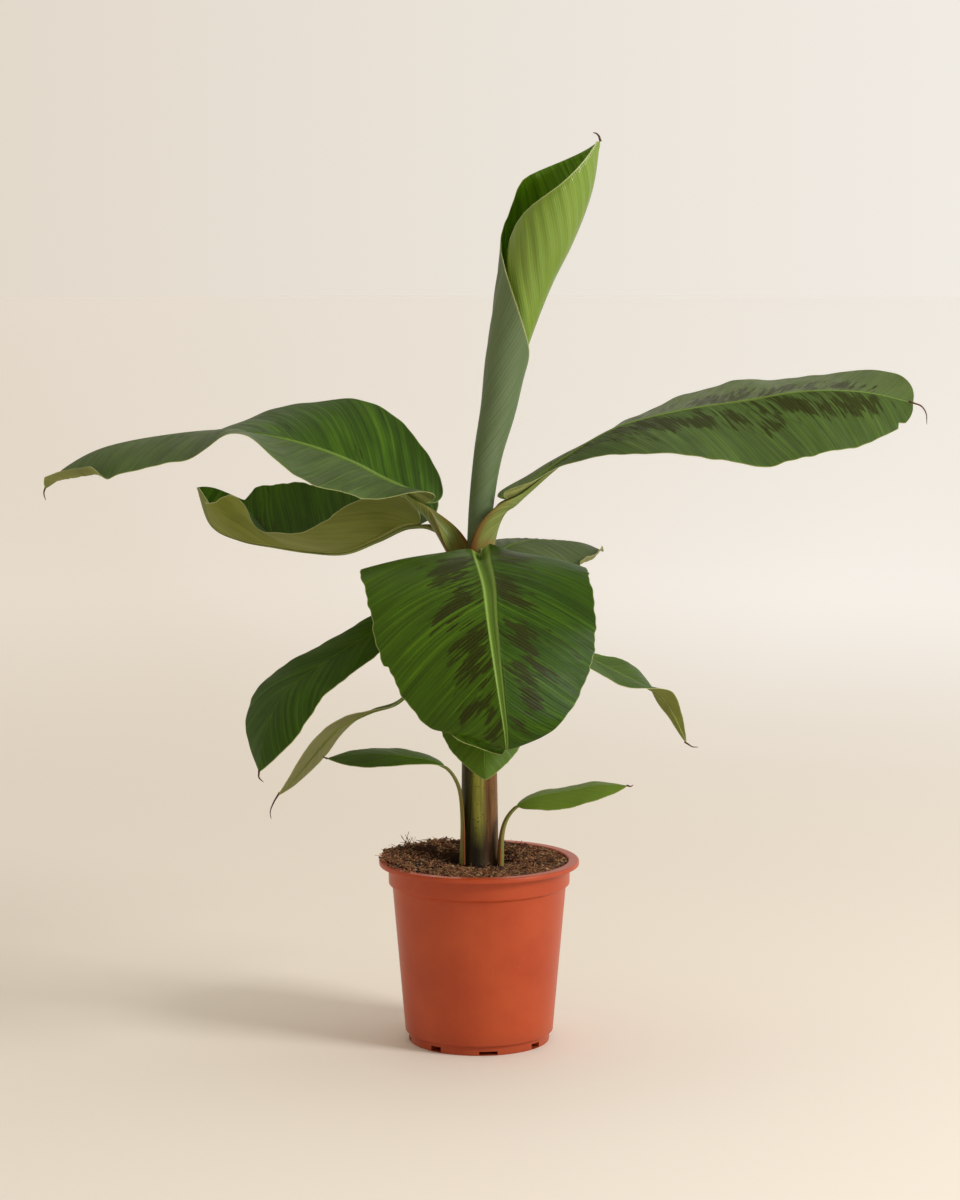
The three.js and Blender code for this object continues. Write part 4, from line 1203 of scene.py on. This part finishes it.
def studio_floor():
    """Studio floor: matt cream paint, laid so wide that its edge is lost in the pale room. Farther out it is
    painted lighter, more so on the key light's side, and glows: painted light as from the lit back wall.
    """
    m = start_material("studio_floor")
    where = add(m, "TexCoord").outputs["Object"]
    away = add(m, "VectorMath", (where,), operation="LENGTH").outputs["Value"]
    far = add(m, "MapRange", (away, *FLOOR_FADE), interpolation_type="SMOOTHSTEP")
    side = add(m, "Math", (add(m, "SeparateXYZ", (where,)).outputs["X"], away), operation="DIVIDE")
    side = add(m, "Math", (side, 0.5), operation="ADD")
    # painted light: lighter on the key light's side
    tint = add(m, "ValToRGB", (side,), stops=[(0.3, "#efe8df"), (0.7, "#fefefe")])
    # painted glow, as if the back wall lit the far floor
    glow = add(m, "Math", (far, FLOOR_GLOW), operation="MULTIPLY")
    face = add(m, "BsdfPrincipled", {"Base Color": coats(m, linear(FLOOR_NEAR), [(far, tint)]),
                                     "Roughness": 0.7, "Specular IOR Level": 0.15,
                                     "Emission Color": tint, "Emission Strength": glow})
    return finish_material(m, face)


def make_floor():
    bm = bmesh.new()
    bmesh.ops.create_circle(bm, cap_ends=True, segments=128, radius=FLOOR_REACH)
    mesh = as_mesh(bm, "floor")
    mesh.materials.append(studio_floor())
    in_scene("floor", mesh)


def add_light(name, place, target, size, power, colour):
    data = bpy.data.lights.new(name, "AREA")
    data.shape = "RECTANGLE"
    data.size, data.size_y = size
    data.energy = power
    data.color = linear(colour)[:3]
    obj = in_scene(name, data)
    obj.location = place
    obj.rotation_euler = (Vector(target) - Vector(place)).to_track_quat("-Z", "Y").to_euler()


make_floor()
add_light("key", place=(3.2, -1.7, 2.3), target=(0, 0, 0.5), size=(1.2, 1.2), power=112, colour="#f9f8f8")


def make_studio():
    """A pale room: its back wall is lit evenly, a little brighter on the key light's side, and the room in
    front of the plant is dimmer and warmer."""
    world = bpy.data.worlds.new("studio")
    world.use_nodes = True
    background = world.node_tree.nodes["Background"]
    around = add(world, "SeparateXYZ", (add(world, "TexCoord").outputs["Generated"],))
    side = add(world, "Math", (around.outputs["X"], 0.5), operation="ADD")
    wall = add(world, "ValToRGB", (side,), stops=[(0.3, STUDIO_DIM), (0.7, STUDIO_BRIGHT)])
    front = add(world, "MapRange", (around.outputs["Y"], 0.2, -0.4), interpolation_type="SMOOTHSTEP")
    tint = coats(world, wall, [(front, STUDIO_FRONT)])
    world.node_tree.links.new(tint.outputs[2], background.inputs["Color"])
    bpy.context.scene.world = world


make_studio()
bpy.context.scene.view_settings.view_transform = "Standard"

CAMERA_PLACE = (0.001, -3.656, 0.973)
CAMERA_PITCH = 6.87  # degrees below the horizon
CAMERA_LENS = 93  # mm
SENSOR_WIDTH = 36  # mm
camera_data = bpy.data.cameras.new("camera")
camera_data.lens = CAMERA_LENS
camera_data.sensor_width = SENSOR_WIDTH
camera = in_scene("camera", camera_data)
camera.location = CAMERA_PLACE
camera.rotation_euler = (math.radians(90 - CAMERA_PITCH), 0, 0)
bpy.context.scene.camera = camera

bpy.context.view_layer.update()
